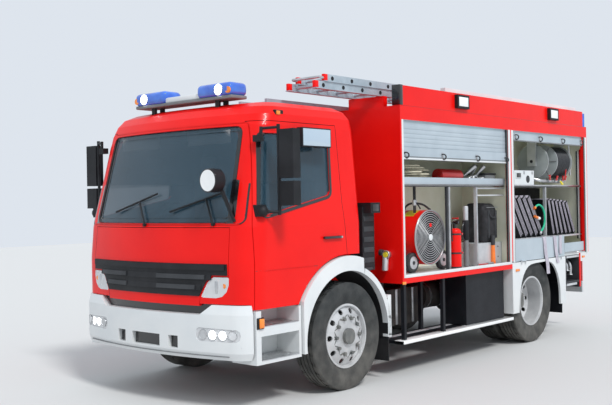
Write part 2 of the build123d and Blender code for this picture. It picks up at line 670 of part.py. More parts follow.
# Flares and mudguards round the front wheels
flare_outer = 750
flare_inner = 610
flare_xs = (cab_half_width - 47, cab_half_width + 23)
guard_thickness = 20
guard_x = 720
flare_front_y = front_axle_y - 645
flare_back_y = cab_back_y - 20
flare_low_z = 420
with BuildPart() as flare_left:
    ring(front_axle_y, tyre_radius, flare_outer, flare_inner, flare_xs)
    block((0, 1400), (flare_back_y, front_axle_y + 800), (-300, 1400), mode=Mode.SUBTRACT)
    block((0, 1400), (front_axle_y - 800, flare_front_y), (-300, 1400), mode=Mode.SUBTRACT)
    block((0, 1400), (front_axle_y - 800, front_axle_y + 800), (-300, flare_low_z), mode=Mode.SUBTRACT)
with BuildPart() as front_arches:
    add(flare_left.part)
    mirror(flare_left.part, about=Plane.YZ)
save(front_arches, "front_arches")
with BuildPart() as guard_left:
    ring(front_axle_y, tyre_radius, flare_inner + guard_thickness, flare_inner, (guard_x, flare_xs[0] - seat_gap))
    block((0, 1400), (front_axle_y - 800, front_axle_y + 800), (-300, flare_low_z), mode=Mode.SUBTRACT)
    block((0, 1400), (front_axle_y - 800, flare_front_y + 20), (-300, 1400), mode=Mode.SUBTRACT)
    block((rail_outer_x + seat_gap, guard_x + 5), (front_axle_y + 576, front_axle_y + 596), (700, 760))
    block((flare_xs[0] - 40, flare_xs[1] - 10), (front_axle_y + 608, front_axle_y + 640), (flare_low_z, 800))
    block((guard_x, flare_xs[1] - 10), (front_axle_y + 612, front_axle_y + 622), (180, flare_low_z + 10))
with BuildPart() as mudguards:
    add(guard_left.part)
    mirror(guard_left.part, about=Plane.YZ)
save(mudguards, "mudguards")

# Steps under the doors
step_xs = (850, cab_half_width - 5)
step_ys = (front_axle_y - 1220, front_axle_y - 655)
step_zs = (400, 850)
step_tread_z = 690
with BuildPart() as step_left:
    block(step_xs, step_ys, step_zs)
    block((step_xs[0] + 25, step_xs[1] + 1), (step_ys[0] + 60, step_ys[1] - 30), (step_tread_z + 25, step_zs[1] + 1), mode=Mode.SUBTRACT)
    block((step_xs[0] + 25, step_xs[1] + 1), (step_ys[0] + 60, step_ys[1] - 30), (step_zs[0] + 30, step_tread_z - 55), mode=Mode.SUBTRACT)
    block((rail_outer_x + seat_gap, step_xs[0] + 1), (step_ys[0] + 240, step_ys[0] + 300), (step_tread_z - 30, step_tread_z + 20))
with BuildPart() as cab_steps:
    add(step_left.part)
    mirror(step_left.part, about=Plane.YZ)
save(cab_steps, "cab_steps")

# Dashboard, steering wheel and seats
dash_envelope = level_loft(cab_sections, cab_wall + 20)
dash_face_y = bulkhead_y + bulkhead_plate + seat_gap
dash_prism = side_prism([
    (front_axle_y - 1500, bulkhead_top_z + seat_gap), (front_axle_y - 1500, bulkhead_top_z + 42),
    (front_axle_y - 990, bulkhead_top_z + 30), (front_axle_y - 950, bulkhead_top_z - 30),
    (front_axle_y - 980, 1340), (dash_face_y, 1340), (dash_face_y, bulkhead_top_z + seat_gap)], (-1050, 1050))
with BuildPart() as dashboard:
    add(dash_prism)
    add(dash_envelope, mode=Mode.INTERSECT)
save(dashboard, "dashboard")
driver_x = -560
steering_centre = (driver_x, front_axle_y - 800, 1650)
steering_tilt = 35
with BuildPart() as steering_wheel:
    with Locations(Location(steering_centre, (steering_tilt, 0, 0))):
        Torus(225, 16)
        Cylinder(50, 40)
        for turn in (0, 120, 240):
            with Locations(Location((0, 0, 0), (0, 0, turn + 90))):
                Box(215, 26, 12, align=(Align.MIN, Align.CENTER, Align.CENTER))
    rod(steering_centre, (driver_x, front_axle_y - 940, 1450), 28)
    add(dashboard.part, mode=Mode.SUBTRACT)
save(steering_wheel, "steering_wheel")
seat_width = 480
seat_centres = (-600, 0, 600)
with BuildPart() as seats:
    for x in seat_centres:
        block((x - 190, x + 190), (front_axle_y - 520, front_axle_y - 160), (hump_top_z + seat_gap, 1400))
        block((x - seat_width / 2, x + seat_width / 2), (front_axle_y - 560, front_axle_y - 60), (1400, 1520))
        block((x - seat_width / 2, x + seat_width / 2), (front_axle_y - 150, front_axle_y - 40), (1500, 2080))
        block((x - 130, x + 130), (front_axle_y - 140, front_axle_y - 60), (2080, 2260))
save(seats, "seats")


def front_face_y(x, z):
    """Y of the cab's bowed front at a place across and a height."""
    for low, high in zip(cab_sections, cab_sections[1:]):
        if z <= high[0]:
            break
    share = (z - low[0]) / (high[0] - low[0])
    return low[2] + share * (high[2] - low[2]) + bow_radius - math.sqrt(bow_radius ** 2 - x ** 2)


# Wipers, light bar and searchlight
wiper_radius = 9
# Columns: pivot x, pivot z, elbow x, elbow z, blade low x, blade low z, blade high x, blade high z
wiper_rows = [
    (760, 1580, 640, 1800, 250, 1690, 820, 1851),
    (-60, 1575, -200, 1790, -560, 1694, 40, 1854),
]
with BuildPart() as wipers:
    for px, pz, ex, ez, lx, lz, hx, hz in wiper_rows:
        lift = 14
        rod((px, front_face_y(px, pz) + 5, pz), (px, front_face_y(px, pz) - lift - 10, pz), 14)
        rod((px, front_face_y(px, pz) - lift, pz), (ex, front_face_y(ex, ez) - lift, ez), wiper_radius)
        rod((lx, front_face_y(lx, lz) - lift, lz), (hx, front_face_y(hx, hz) - lift, hz), wiper_radius)
    add(cab_outer, mode=Mode.SUBTRACT)
save(wipers, "wipers")
light_bar_half = 680
light_bar_ys = (front_axle_y - 1020, front_axle_y - 780)
light_bar_zs = (2690, 2840)
with BuildPart() as light_bar:
    block((-light_bar_half, light_bar_half), light_bar_ys, light_bar_zs)
    fillet(light_bar.edges().filter_by(Axis.Z), 60)
    for side in SIDES:
        block(side_pair(420, 480, side), (light_bar_ys[0] + 60, light_bar_ys[1] - 60), (roof_z - 120, light_bar_zs[0]))
    add(cab_outer, mode=Mode.SUBTRACT)
save(light_bar, "light_bar")
spot_centre = (840, front_axle_y - 1408, 1950)
spot_foot = (960, front_axle_y - 1270, 1600)
with BuildPart() as searchlight:
    rod(spot_foot, (spot_centre[0] + 30, spot_centre[1] + 60, spot_centre[2] - 60), 14)
    rod((spot_centre[0], spot_centre[1] - 50, spot_centre[2]), (spot_centre[0], spot_centre[1] + 60, spot_centre[2]), 100)
    add(cab_outer, mode=Mode.SUBTRACT)
save(searchlight, "searchlight")

# Mirrors carried by the doors
def side_face_x(z):
    """X of the cab's flat side at a height."""
    for low, high in zip(cab_sections, cab_sections[1:]):
        if z <= high[0]:
            break
    return low[1] + (z - low[0]) / (high[0] - low[0]) * (high[1] - low[1])


mirror_tube_x = cab_half_width + 103
mirror_tube_y = front_axle_y - 1025
mirror_zs = (1650, 2405)
mirror_tube_radius = 15
mirror_arm_radius = 12
mirror_housing_xs = (mirror_tube_x + 22, mirror_tube_x + 180)
mirror_housing_ys = (mirror_tube_y - 20, mirror_tube_y + 70)
kerb_mirror_z = 2395
kerb_mirror_xs = (cab_half_width + 13, cab_half_width + 78)
# Columns: x range from the cab's side, y range from the front axle, z range
mirror_pad_rows = [
    ((-107, -32), (-1120, -1060), (2275, 2330)),
    ((-67, 13), (-1170, -1090), (1640, 1740)),
]
with BuildPart() as mirror_pads:
    for xs, ys, zs in mirror_pad_rows:
        block([cab_half_width + x for x in xs], [front_axle_y + y for y in ys], zs)
    add(cab_outer, mode=Mode.SUBTRACT)
upper_pad_x = cab_half_width - 42
with BuildPart() as mirrors_left:
    add(mirror_pads.part)
    rod((upper_pad_x, front_axle_y - 1090, 2300), (upper_pad_x + 5, front_axle_y - 1085, 2400), mirror_tube_radius)
    rod((upper_pad_x + 5, front_axle_y - 1085, 2385), (mirror_tube_x, mirror_tube_y, mirror_zs[1] - 15), mirror_arm_radius)
    rod((cab_half_width - 2, front_axle_y - 1130, 1685), (mirror_tube_x, mirror_tube_y, mirror_zs[0] + 25), mirror_arm_radius)
    rod((mirror_tube_x, mirror_tube_y, mirror_zs[0]), (mirror_tube_x, mirror_tube_y, mirror_zs[1] + 10), mirror_tube_radius)
    for low, high in ((1960, 2370), (1730, 1935)):
        block(mirror_housing_xs, mirror_housing_ys, (low, high))
        z = (low + high) / 2
        rod((mirror_tube_x, mirror_tube_y, z), (mirror_housing_xs[0] + 5, mirror_tube_y, z), mirror_arm_radius)
    rod((side_face_x(kerb_mirror_z - 10) + seat_gap, front_axle_y - 480, kerb_mirror_z),
        (kerb_mirror_xs[0] + 10, front_axle_y - 480, kerb_mirror_z), 10)
    block(kerb_mirror_xs, (front_axle_y - 690, front_axle_y - 300), (kerb_mirror_z - 155, kerb_mirror_z + 15))
save(mirrors_left, "mirrors_left")
with BuildPart() as mirrors_right:
    mirror(mirrors_left.part, about=Plane.YZ)
save(mirrors_right, "mirrors_right")

# Body shell with lockers on both sides, a rear opening and low boxes behind the wheels
skin_x = body_half_width - body_wall
centre_half = locker_back_x - partition
wheel_box_ys = (front_axle_y + 2985, front_axle_y + 4395)
low_box_z = 640
low_box_rear_y = front_axle_y + 4840
low_box_post_z = 570
fender_top_z = 997
rear_floor_top = wheel_box_z + 30
front_bay = (body_front_y + body_wall, front_opening[1] + 25)
rear_bay = (front_opening[1] + 65, body_rear_y - body_wall)
with BuildPart() as body_shell:
    block((-body_half_width, body_half_width), (body_front_y, body_rear_y), (body_floor_z, body_top_z))
    block((-body_half_width - 1, body_half_width + 1), (wheel_box_ys[0], body_rear_y + 1), (body_floor_z - 1, wheel_box_z),
          mode=Mode.SUBTRACT)
    block((-centre_half, centre_half), (body_front_y + body_wall, body_rear_y - body_wall), (rear_floor_top, body_top_z - roof_slab),
          mode=Mode.SUBTRACT)
    block((-centre_half, centre_half), (body_rear_y - body_wall - 1, body_rear_y + 1), rear_door_zs, mode=Mode.SUBTRACT)
    for side in SIDES:
        block(side_pair(locker_back_x, skin_x, side), front_bay, (body_floor_z + 30, body_top_z - roof_slab), mode=Mode.SUBTRACT)
        block(side_pair(locker_back_x, skin_x, side), rear_bay, (rear_floor_top, body_top_z - roof_slab), mode=Mode.SUBTRACT)
        block(side_pair(skin_x - 1, body_half_width + 1, side), front_opening, (opening_bottom_z, opening_top_z), mode=Mode.SUBTRACT)
        block(side_pair(skin_x - 1, body_half_width + 1, side), rear_opening, (wheel_box_z - 1, opening_top_z), mode=Mode.SUBTRACT)
        block(side_pair(750, body_half_width, side), (wheel_box_ys[1], low_box_rear_y), (low_box_z, wheel_box_z))
        block(side_pair(750, body_half_width, side), (low_box_rear_y - body_wall, low_box_rear_y), (low_box_post_z, low_box_z))
        block(side_pair(775, body_half_width + 1, side), (wheel_box_ys[1] + 25, low_box_rear_y - body_wall),
              (low_box_z + 25, fender_top_z - 25), mode=Mode.SUBTRACT)
        block(side_pair(skin_x - 1, body_half_width + 1, side), rear_opening, (fender_top_z, wheel_box_z), mode=Mode.SUBTRACT)
save(body_shell, "body_shell")

# Fenders over the rear wheels
fender_xs = (body_half_width - 25, body_half_width)
fender_low_z = 400
# Edge of the arch, columns: y from the rear axle, z
rear_arch_edge = [
    (-424, fender_low_z), (-412, 540), (-390, 650), (-355, 750), (-308, 830), (-250, 890), (-190, 928), (-115, 952),
    (0, 962), (250, 967), (360, 963), (430, 946), (500, 910), (556, 860), (610, 788), (645, 712), (670, 620),
    (680, 530), (682, fender_low_z),
]
fender_outline = [(wheel_box_ys[0], fender_low_z)]
fender_outline += [(rear_axle_y + y, z) for y, z in rear_arch_edge]
fender_outline += [
    (wheel_box_ys[1] - seat_gap, fender_low_z), (wheel_box_ys[1] - seat_gap, fender_top_z), (wheel_box_ys[0], fender_top_z),
]
fender_skin = side_prism(fender_outline, fender_xs)
mud_flap_z = 270
with BuildPart() as fender_left:
    add(fender_skin)
    for y in (wheel_box_ys[0] + seat_gap, wheel_box_ys[1] - 30):
        block((600, skin_x - 5), (y, y + 12), (fender_low_z, wheel_box_z - seat_gap))
        block((skin_x - 10, fender_xs[0] + 5), (y, y + 12), (fender_low_z, fender_top_z - 10))
    block((locker_back_x + 40, skin_x + 5), (wheel_box_ys[1] - 40, wheel_box_ys[1] - 28), (mud_flap_z, low_box_z + 20))
with BuildPart() as rear_fenders:
    add(fender_left.part)
    mirror(fender_left.part, about=Plane.YZ)
save(rear_fenders, "rear_fenders")

# Roof parapets, rests for the ladders, lamps and the two sections of the stacked ladder
ladder_xs = (620, 950)
ladder_rest_xs = (560, 1010)
ladder_top_z = body_top_z + 261
# Columns: front y, rear y, bottom z, top z
ladder_rows = [
    (front_axle_y - 200, body_rear_y - 300, body_top_z + 115, body_top_z + 189),
    (front_axle_y - 65, body_rear_y - 200, body_top_z + 189 + seat_gap, ladder_top_z),
]
with BuildPart() as roof_parapets:
    for side in SIDES:
        block(side_pair(body_half_width - parapet_thickness, body_half_width, side), (body_front_y, body_rear_y - 115),
              (body_top_z, body_top_z + parapet_height))
    for y in (body_front_y + 60, body_front_y + 2100, body_rear_y - 500):
        block(ladder_rest_xs, (y, y + 60), (body_top_z, ladder_rows[0][2] - seat_gap))
save(roof_parapets, "roof_parapets")
scene_lamp_starts = (front_axle_y + 1770, front_axle_y + 3950)
with BuildPart() as scene_lamps:
    for side in SIDES:
        for y in scene_lamp_starts:
            block(side_pair(body_half_width + seat_gap, body_half_width + 40, side), (y, y + 240), (body_top_z + 35, body_top_z + 180))
        with Locations((side * (body_half_width - 50), body_rear_y - 55, body_top_z + 90)):
            Cylinder(48, 180 - 2 * seat_gap)
save(scene_lamps, "scene_lamps")

# Ladders on the roof: two sections stacked on the left, a flat one beside them and a long case for poles
ladder_rail = 28
rung_pitch = 300
rung_radius = 14
flat_ladder_xs = (150, 500)
flat_ladder_ys = (front_axle_y - 380, body_rear_y - 700)
flat_ladder_zs = (body_top_z + seat_gap, body_top_z + 45)
pole_case_xs = (body_half_width - parapet_thickness - 60, body_half_width - parapet_thickness - seat_gap)
pole_case_ys = (front_axle_y + 1730, body_rear_y - 120)


def ladder(xs, ys, zs):
    """Two rails with flanges below and the rungs between them."""
    middle = (zs[0] + zs[1]) / 2
    for x in xs:
        block((x - ladder_rail / 2, x + ladder_rail / 2), ys, zs)
        block((x - ladder_rail, x + ladder_rail), ys, (zs[0], zs[0] + 8))
    for number in range(int((ys[1] - ys[0] - 100) / rung_pitch)):
        y = ys[0] + 120 + number * rung_pitch
        rod((xs[0], y, middle), (xs[1], y, middle), rung_radius)


with BuildPart() as ladders:
    for y0, y1, z0, z1 in ladder_rows:
        ladder(ladder_xs, (y0, y1), (z0, z1))
    ladder(flat_ladder_xs, flat_ladder_ys, flat_ladder_zs)
    block(pole_case_xs, pole_case_ys, (body_top_z + seat_gap, ladder_top_z))
save(ladders, "ladders")

# Locker fittings on the open side: floor, trays, shelves, posts and a grey step box
post_xs = (skin_x - 60, skin_x - 30)
post_width = 30
tray_top_z = 1990
tray_deck_z = 1925
rear_shelf_z = 1915
cassette_shelf_z = 1270
locker_floor_z = 1000
shelf_plate = 20
gear_back_x = locker_back_x + seat_gap
shelf_front_x = skin_x - 25
front_posts = (front_axle_y + 1722, front_axle_y + 2295)
rear_post_y = front_axle_y + 3990
rack_bar_zs = (1790, 1870)
with BuildPart() as locker_shelves:
    block((gear_back_x, skin_x - seat_gap), (front_bay[0] + seat_gap, front_bay[1] - seat_gap),
          (locker_floor_z - shelf_plate, locker_floor_z))
    block((gear_back_x, shelf_front_x), (front_bay[0] + seat_gap, front_bay[1] - seat_gap),
          (tray_deck_z - shelf_plate, tray_deck_z))
    block((shelf_front_x - 20, shelf_front_x), (front_bay[0] + seat_gap, front_bay[1] - seat_gap),
          (tray_deck_z - shelf_plate, tray_top_z))
    for y in front_posts:
        block(post_xs, (y, y + post_width), (locker_floor_z, tray_deck_z - shelf_plate))
    for z in rack_bar_zs:
        block((post_xs[0], post_xs[1] - 10), (front_posts[1], front_bay[1] - seat_gap), (z, z + 16))
    block((locker_back_x + 160, skin_x - 80), (front_axle_y + 2360, front_bay[1] - seat_gap), (locker_floor_z, 1250))
    for z in (rear_shelf_z, cassette_shelf_z):
        block((gear_back_x, shelf_front_x), (rear_bay[0] + seat_gap, rear_bay[1] - seat_gap), (z - shelf_plate, z))
    block(post_xs, (rear_post_y, rear_post_y + post_width), (rear_floor_top + seat_gap, rear_shelf_z - shelf_plate))
save(locker_shelves, "locker_shelves")

# Roller shutters: closed ones on the right and at the back, raised ones on the left
shutter_xs = (skin_x + 4, skin_x + 18)
shutter_top = opening_top_z - seat_gap
raised_end_z = 2165
raised_profile_z = 2288
parked_bar_zs = (2440, 2524)
with BuildPart() as shutters_closed:
    block(side_pair(*shutter_xs, -1), (front_opening[0] + seat_gap, front_opening[1] - seat_gap),
          (opening_bottom_z + seat_gap, shutter_top))
    block(side_pair(*shutter_xs, -1), (rear_opening[0] + seat_gap, rear_opening[1] - seat_gap),
          (fender_top_z + seat_gap, shutter_top))
    block((-centre_half + seat_gap, centre_half - seat_gap), (body_rear_y - 30, body_rear_y - 16),
          (rear_door_zs[0] + seat_gap, rear_door_zs[1] - seat_gap))
save(shutters_closed, "shutters_closed")
with BuildPart() as shutters_raised:
    block(shutter_xs, (front_opening[0] + seat_gap, front_opening[1] - seat_gap), (raised_end_z, shutter_top))
    block((shutter_xs[0], shutter_xs[1] + 8), (front_opening[0] + 4, front_opening[1] - 4), (raised_end_z, raised_profile_z))
    block((shutter_xs[0], shutter_xs[1] + 8), (rear_opening[0] + seat_gap, rear_opening[1] - seat_gap), parked_bar_zs)
    block(shutter_xs, (rear_opening[0] + seat_gap, rear_opening[1] - seat_gap), (parked_bar_zs[1] - 1, shutter_top))
save(shutters_raised, "shutters_raised")

# Fold-down step flap over the rear wheel, its hinge pins and the fixed plate behind it
flap_xs = (skin_x + 6, skin_x + 26)
step_flap_ys = (rear_opening[0] + panel_gap, front_axle_y + 4400)
step_flap_zs = (1004, 1265)
flap_pin = (body_half_width + 8, 1010)
flap_pin_radius = 5
flap_sleeve_radius = 9
flap_hinge_starts = (step_flap_ys[0] + 150, step_flap_ys[1] - 230)
flap_sleeve_length = 80
with BuildPart() as step_flap:
    block(flap_xs, step_flap_ys, step_flap_zs)
    for y in flap_hinge_starts:
        rod((flap_pin[0], y, flap_pin[1]), (flap_pin[0], y + flap_sleeve_length, flap_pin[1]), flap_sleeve_radius)
        block((flap_xs[1] - 1, flap_pin[0]), (y, y + flap_sleeve_length), (flap_pin[1] - 2, flap_pin[1] + flap_sleeve_radius - 1))
        rod((flap_pin[0], y - 1, flap_pin[1]), (flap_pin[0], y + flap_sleeve_length + 1, flap_pin[1]),
            flap_pin_radius + running_clearance, mode=Mode.SUBTRACT)
save(step_flap, "step_flap")
with BuildPart() as flap_hinges:
    for y in flap_hinge_starts:
        rod((flap_pin[0], y - 16, flap_pin[1]), (flap_pin[0], y + flap_sleeve_length + 16, flap_pin[1]), flap_pin_radius)
        for lug in (y - 16, y + flap_sleeve_length + 4):
            block((body_half_width + seat_gap, flap_pin[0] + 7), (lug, lug + 12), (fender_top_z - 30, flap_pin[1] + 7))
save(flap_hinges, "flap_hinges")
with BuildPart() as locker_sill:
    block((flap_xs[0], flap_xs[1]), (step_flap_ys[1] + panel_gap, rear_opening[1] - seat_gap), (rear_floor_top, 1166))
    block((skin_x - 20, flap_xs[1]), (step_flap_ys[1] + panel_gap, rear_opening[1] - seat_gap), (rear_floor_top + seat_gap, rear_floor_top + 20))
save(locker_sill, "locker_sill")

# Fan: a drum with its motor, legs and two wheels
fan_face = (1100, front_axle_y + 1475, 1360)
fan_radius = 288
fan_depth = 370
fan_wheel_radius = 104
fan_wheels = (front_axle_y + 1213, front_axle_y + 1790)
with BuildPart() as fan:
    ring(fan_face[1], fan_face[2], fan_radius, fan_radius - 12, (fan_face[0] - fan_depth, fan_face[0]))
    rod((fan_face[0] - 260, fan_face[1], fan_face[2]), (fan_face[0] - 60, fan_face[1], fan_face[2]), 75)
    for turn in range(4):
        angle = math.radians(turn * 90 + 45)
        reach = fan_radius - 5
        rod((fan_face[0] - 150, fan_face[1], fan_face[2]),
            (fan_face[0] - 150, fan_face[1] + reach * math.cos(angle), fan_face[2] + reach * math.sin(angle)), 10)
    rod((fan_face[0] - 60, fan_wheels[0] - 10, locker_floor_z + fan_wheel_radius + seat_gap),
        (fan_face[0] - 60, fan_wheels[1] + 10, locker_floor_z + fan_wheel_radius + seat_gap), 14)
    for y in fan_wheels:
        rod((fan_face[0] - 80, y, locker_floor_z + fan_wheel_radius + seat_gap),
            (fan_face[0] - 40, y, locker_floor_z + fan_wheel_radius + seat_gap), fan_wheel_radius)
    block((fan_face[0] - 340, fan_face[0] - 310), (fan_face[1] - 120, fan_face[1] + 120), (locker_floor_z + seat_gap, 1120))
save(fan, "fan")

# Fire extinguisher
extinguisher_at = (1112, front_axle_y + 1950)
extinguisher_radius = 68
extinguisher_zs = (locker_floor_z + seat_gap, 1440)
with BuildPart() as fire_extinguisher:
    rod((*extinguisher_at, extinguisher_zs[0]), (*extinguisher_at, extinguisher_zs[1]), extinguisher_radius)
    fillet(fire_extinguisher.edges().filter_by(GeomType.CIRCLE).group_by(Axis.Z)[-1], 45)
    rod((*extinguisher_at, extinguisher_zs[1] - 5), (*extinguisher_at, extinguisher_zs[1] + 55), 20)
    block((extinguisher_at[0] - 15, extinguisher_at[0] + 50), (extinguisher_at[1] - 12, extinguisher_at[1] + 12),
          (extinguisher_zs[1] + 45, extinguisher_zs[1] + 85))
save(fire_extinguisher, "fire_extinguisher")

# Soft bag on the grey box, and the gear on the tray
with BuildPart() as gear_bag:
    block((790, 1125), (front_axle_y + 2420, front_axle_y + 2880), (1250 + seat_gap, 1710))
    fillet(gear_bag.edges(), 60)
save(gear_bag, "gear_bag")
tray_cylinder_radius = 72
with BuildPart() as shelf_gear:
    for z in (tray_deck_z + seat_gap + 50, tray_deck_z + seat_gap + 125):
        with Locations((960, front_axle_y + 1230, z)):
            Torus(150, 50)
    rod((1060, front_axle_y + 1700, tray_deck_z + tray_cylinder_radius + seat_gap + 20),
        (1060, front_axle_y + 2120, tray_deck_z + tray_cylinder_radius + seat_gap + 20), tray_cylinder_radius)
    block((1000, 1120), (front_axle_y + 1730, front_axle_y + 2090), (tray_deck_z + seat_gap, tray_deck_z + 40))
    block((700, 1120), (front_axle_y + 2220, front_axle_y + 2800), (tray_deck_z + seat_gap, tray_deck_z + 130))
save(shelf_gear, "shelf_gear")
power_box_ys = (front_axle_y + 3200, front_axle_y + 3720)
with BuildPart() as power_box:
    block((760, 1170), power_box_ys, (rear_shelf_z + seat_gap, 2098))
    block((1169, 1178), (power_box_ys[0] + 50, power_box_ys[0] + 180), (2000, 2070))
save(power_box, "power_box")

# Slanted hose cassettes: each row is one group
# Columns: y of the first one's foot, count, pitch, thickness, length, tilt of the first and of the last in degrees
cassette_rows = [
    (front_axle_y + 3425, 5, 132, 84, 590, 36, 36),
    (front_axle_y + 4290, 6, 122, 60, 480, 17, 30),
]
cassette_xs = (700, 1150)
with BuildPart() as hose_cassettes:
    for foot_y, count, pitch, thick, length, first_tilt, last_tilt in cassette_rows:
        for number in range(count):
            tilt = first_tilt + (last_tilt - first_tilt) * number / (count - 1)
            lean = math.radians(tilt)
            rise = (length * math.cos(lean) + thick * math.sin(lean)) / 2
            place = ((cassette_xs[0] + cassette_xs[1]) / 2, foot_y + number * pitch - length * math.sin(lean) / 2,
                     cassette_shelf_z + rise + seat_gap)
            with Locations(Location(place, (tilt, 0, 0))):
                Box(cassette_xs[1] - cassette_xs[0], thick, length)
save(hose_cassettes, "hose_cassettes")

# Hose reel on a lengthwise shaft, with its end plates
reel_x = 980
reel_z = 2225
reel_radius = 190
reel_flange_radius = 215
reel_ys = (front_axle_y + 4330, front_axle_y + 4750)
reel_shaft_radius = 20
reel_shaft_ys = (front_axle_y + 4030, front_axle_y + 4830)
with BuildPart() as hose_reel:
    rod((reel_x, reel_ys[0], reel_z), (reel_x, reel_ys[1], reel_z), reel_radius)
    for y in (reel_shaft_ys[0] + 40, *reel_ys):
        rod((reel_x, y - 5, reel_z), (reel_x, y + 5, reel_z), reel_flange_radius)
    rod((reel_x, reel_shaft_ys[0], reel_z), (reel_x, reel_shaft_ys[1], reel_z), reel_shaft_radius)
save(hose_reel, "hose_reel")
with BuildPart() as reel_brackets:
    for y in (reel_shaft_ys[0] + 5, reel_shaft_ys[1] - 25):
        block((reel_x - 60, reel_x + 60), (y, y + 20), (reel_z - 60, body_top_z - roof_slab - seat_gap))
        rod((reel_x, y - 1, reel_z), (reel_x, y + 21, reel_z), reel_shaft_radius + running_clearance, mode=Mode.SUBTRACT)
save(reel_brackets, "reel_brackets")

# Running boards between the wheels
board_z = 330
board_ys = (front_axle_y + 745, front_axle_y + 2990)
board_post_starts = (board_ys[0] + 60, front_axle_y + 1520)
board_width = 400
with BuildPart() as board_left:
    block((body_half_width - board_width, body_half_width), board_ys, (board_z, board_z + 30))
    for y in board_post_starts:
        for x in (body_half_width - 350, body_half_width - 70):
            block((x, x + 40), (y, y + 40), (board_z, body_floor_z - seat_gap))
with BuildPart() as running_boards:
    add(board_left.part)
    mirror(board_left.part, about=Plane.YZ)
save(running_boards, "running_boards")

# Rear step, towing jaw and tanks
rear_step_half = 1150
rear_step_zs = (470, 620)
with BuildPart() as rear_step:
    block((-rear_step_half, rear_step_half), (body_rear_y + seat_gap, overall_length / 2), rear_step_zs)
    for side in SIDES:
        block(side_pair(rail_outer_x - rail_flange, rail_outer_x, side), (rail_rear_y + seat_gap, body_rear_y + 5),
              (500, rail_top_z - 60))
save(rear_step, "rear_step")
jaw_half_width = 55
jaw_zs = (rail_top_z - 160, rail_top_z - 60)
jaw_mouth_zs = (jaw_zs[0] + 30, jaw_zs[1] - 30)
jaw_front_y = front_axle_y + cross_members[-1] + 40
jaw_pin_y = body_rear_y - 40
jaw_pin_bore = 20
with BuildPart() as towing_jaw:
    block((-jaw_half_width, jaw_half_width), (jaw_front_y + seat_gap, overall_length / 2 - 2), jaw_zs)
    block((-jaw_half_width - 1, jaw_half_width + 1), (jaw_pin_y - 45, overall_length / 2), jaw_mouth_zs, mode=Mode.SUBTRACT)
    rod((0, jaw_pin_y, jaw_zs[0] - 1), (0, jaw_pin_y, jaw_zs[1] + 1), jaw_pin_bore, mode=Mode.SUBTRACT)
save(towing_jaw, "towing_jaw")
with BuildPart() as underframe_tanks:
    for side in SIDES:
        for y in (front_axle_y + 1200, front_axle_y + 2400):
            block(side_pair(rail_outer_x + seat_gap, 500, side), (y, y + 40), (700, 760))
    block((-830, -480), (front_axle_y + 1050, front_axle_y + 2650), (440, 820))
    block((480, 830), (front_axle_y + 1050, front_axle_y + 1700), (440, 820))
    rod((640, front_axle_y + 1850, 680), (640, front_axle_y + 2600, 680), 150)
save(underframe_tanks, "underframe_tanks")

# Boxes under the body between the board posts and the rear wheels
side_box_xs = (870, skin_x - 30)
side_box_ys = (front_axle_y + 2050, front_axle_y + 2890)
side_box_zs = (370, body_floor_z - seat_gap)
side_box_wall = 25
with BuildPart() as side_box_left:
    block(side_box_xs, side_box_ys, side_box_zs)
    block((side_box_xs[0] + side_box_wall, side_box_xs[1] - side_box_wall),
          (side_box_ys[0] + side_box_wall, side_box_ys[1] - side_box_wall),
          (side_box_zs[0] + side_box_wall, side_box_zs[1] - side_box_wall), mode=Mode.SUBTRACT)
with BuildPart() as side_boxes:
    add(side_box_left.part)
    mirror(side_box_left.part, about=Plane.YZ)
save(side_boxes, "side_boxes")

# Air intake behind the cab
stack_ys = (cab_back_y + 40, cab_back_y + 230)
stack_arm_ys = (stack_ys[0] + 15, stack_ys[0] + 70)
with BuildPart() as intake_stack:
    block((960, 1110), stack_ys, (1085, 1700))
    block((1040, 1200), (stack_ys[0] + 20, stack_ys[1] - 20), (1640, 1740))
    block((rail_outer_x - rail_flange, 1110), stack_arm_ys, (1085, 1135))
    block((rail_outer_x - rail_flange, rail_outer_x), stack_arm_ys, (rail_top_z + seat_gap, 1135))
save(intake_stack, "intake_stack")

# Lamps: corner lamps, headlamps, roof markers and tail lamps
with BuildPart() as corner_lamp:
    add(envelope_piece(cab_outer, cab_inner, lamp_fit))
with BuildPart() as headlamp:
    add(envelope_piece(headlamp_outer, headlamp_inner, headlamp_fit))
with BuildPart() as lamps:
    for lamp in (corner_lamp, headlamp):
        add(lamp.part)
        add(mirror(lamp.part, about=Plane.YZ, mode=Mode.PRIVATE))
    for side in SIDES:
        block(side_pair(rear_step_half - 145, rear_step_half, side), (body_rear_y + 5, body_rear_y + 35),
              (rear_step_zs[1] + seat_gap, rear_step_zs[1] + 270))
save(lamps, "lamps")
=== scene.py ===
# %% [markdown]
# # A fire engine, dressed over its CAD model
#
# The solid model of the vehicle is already packed as a frame: a cab, a locker body, wheels and the
# gear in its lockers. This lesson adds what a solid model leaves out, such as paint, rubber, glass,
# tread, slats, straps and lamps. Everything is in metres, -Y is the front of the vehicle, +X its left
# side and +Z is up.

# %% Load the frame
import bpy
import json
import math
from mathutils import Matrix, Vector

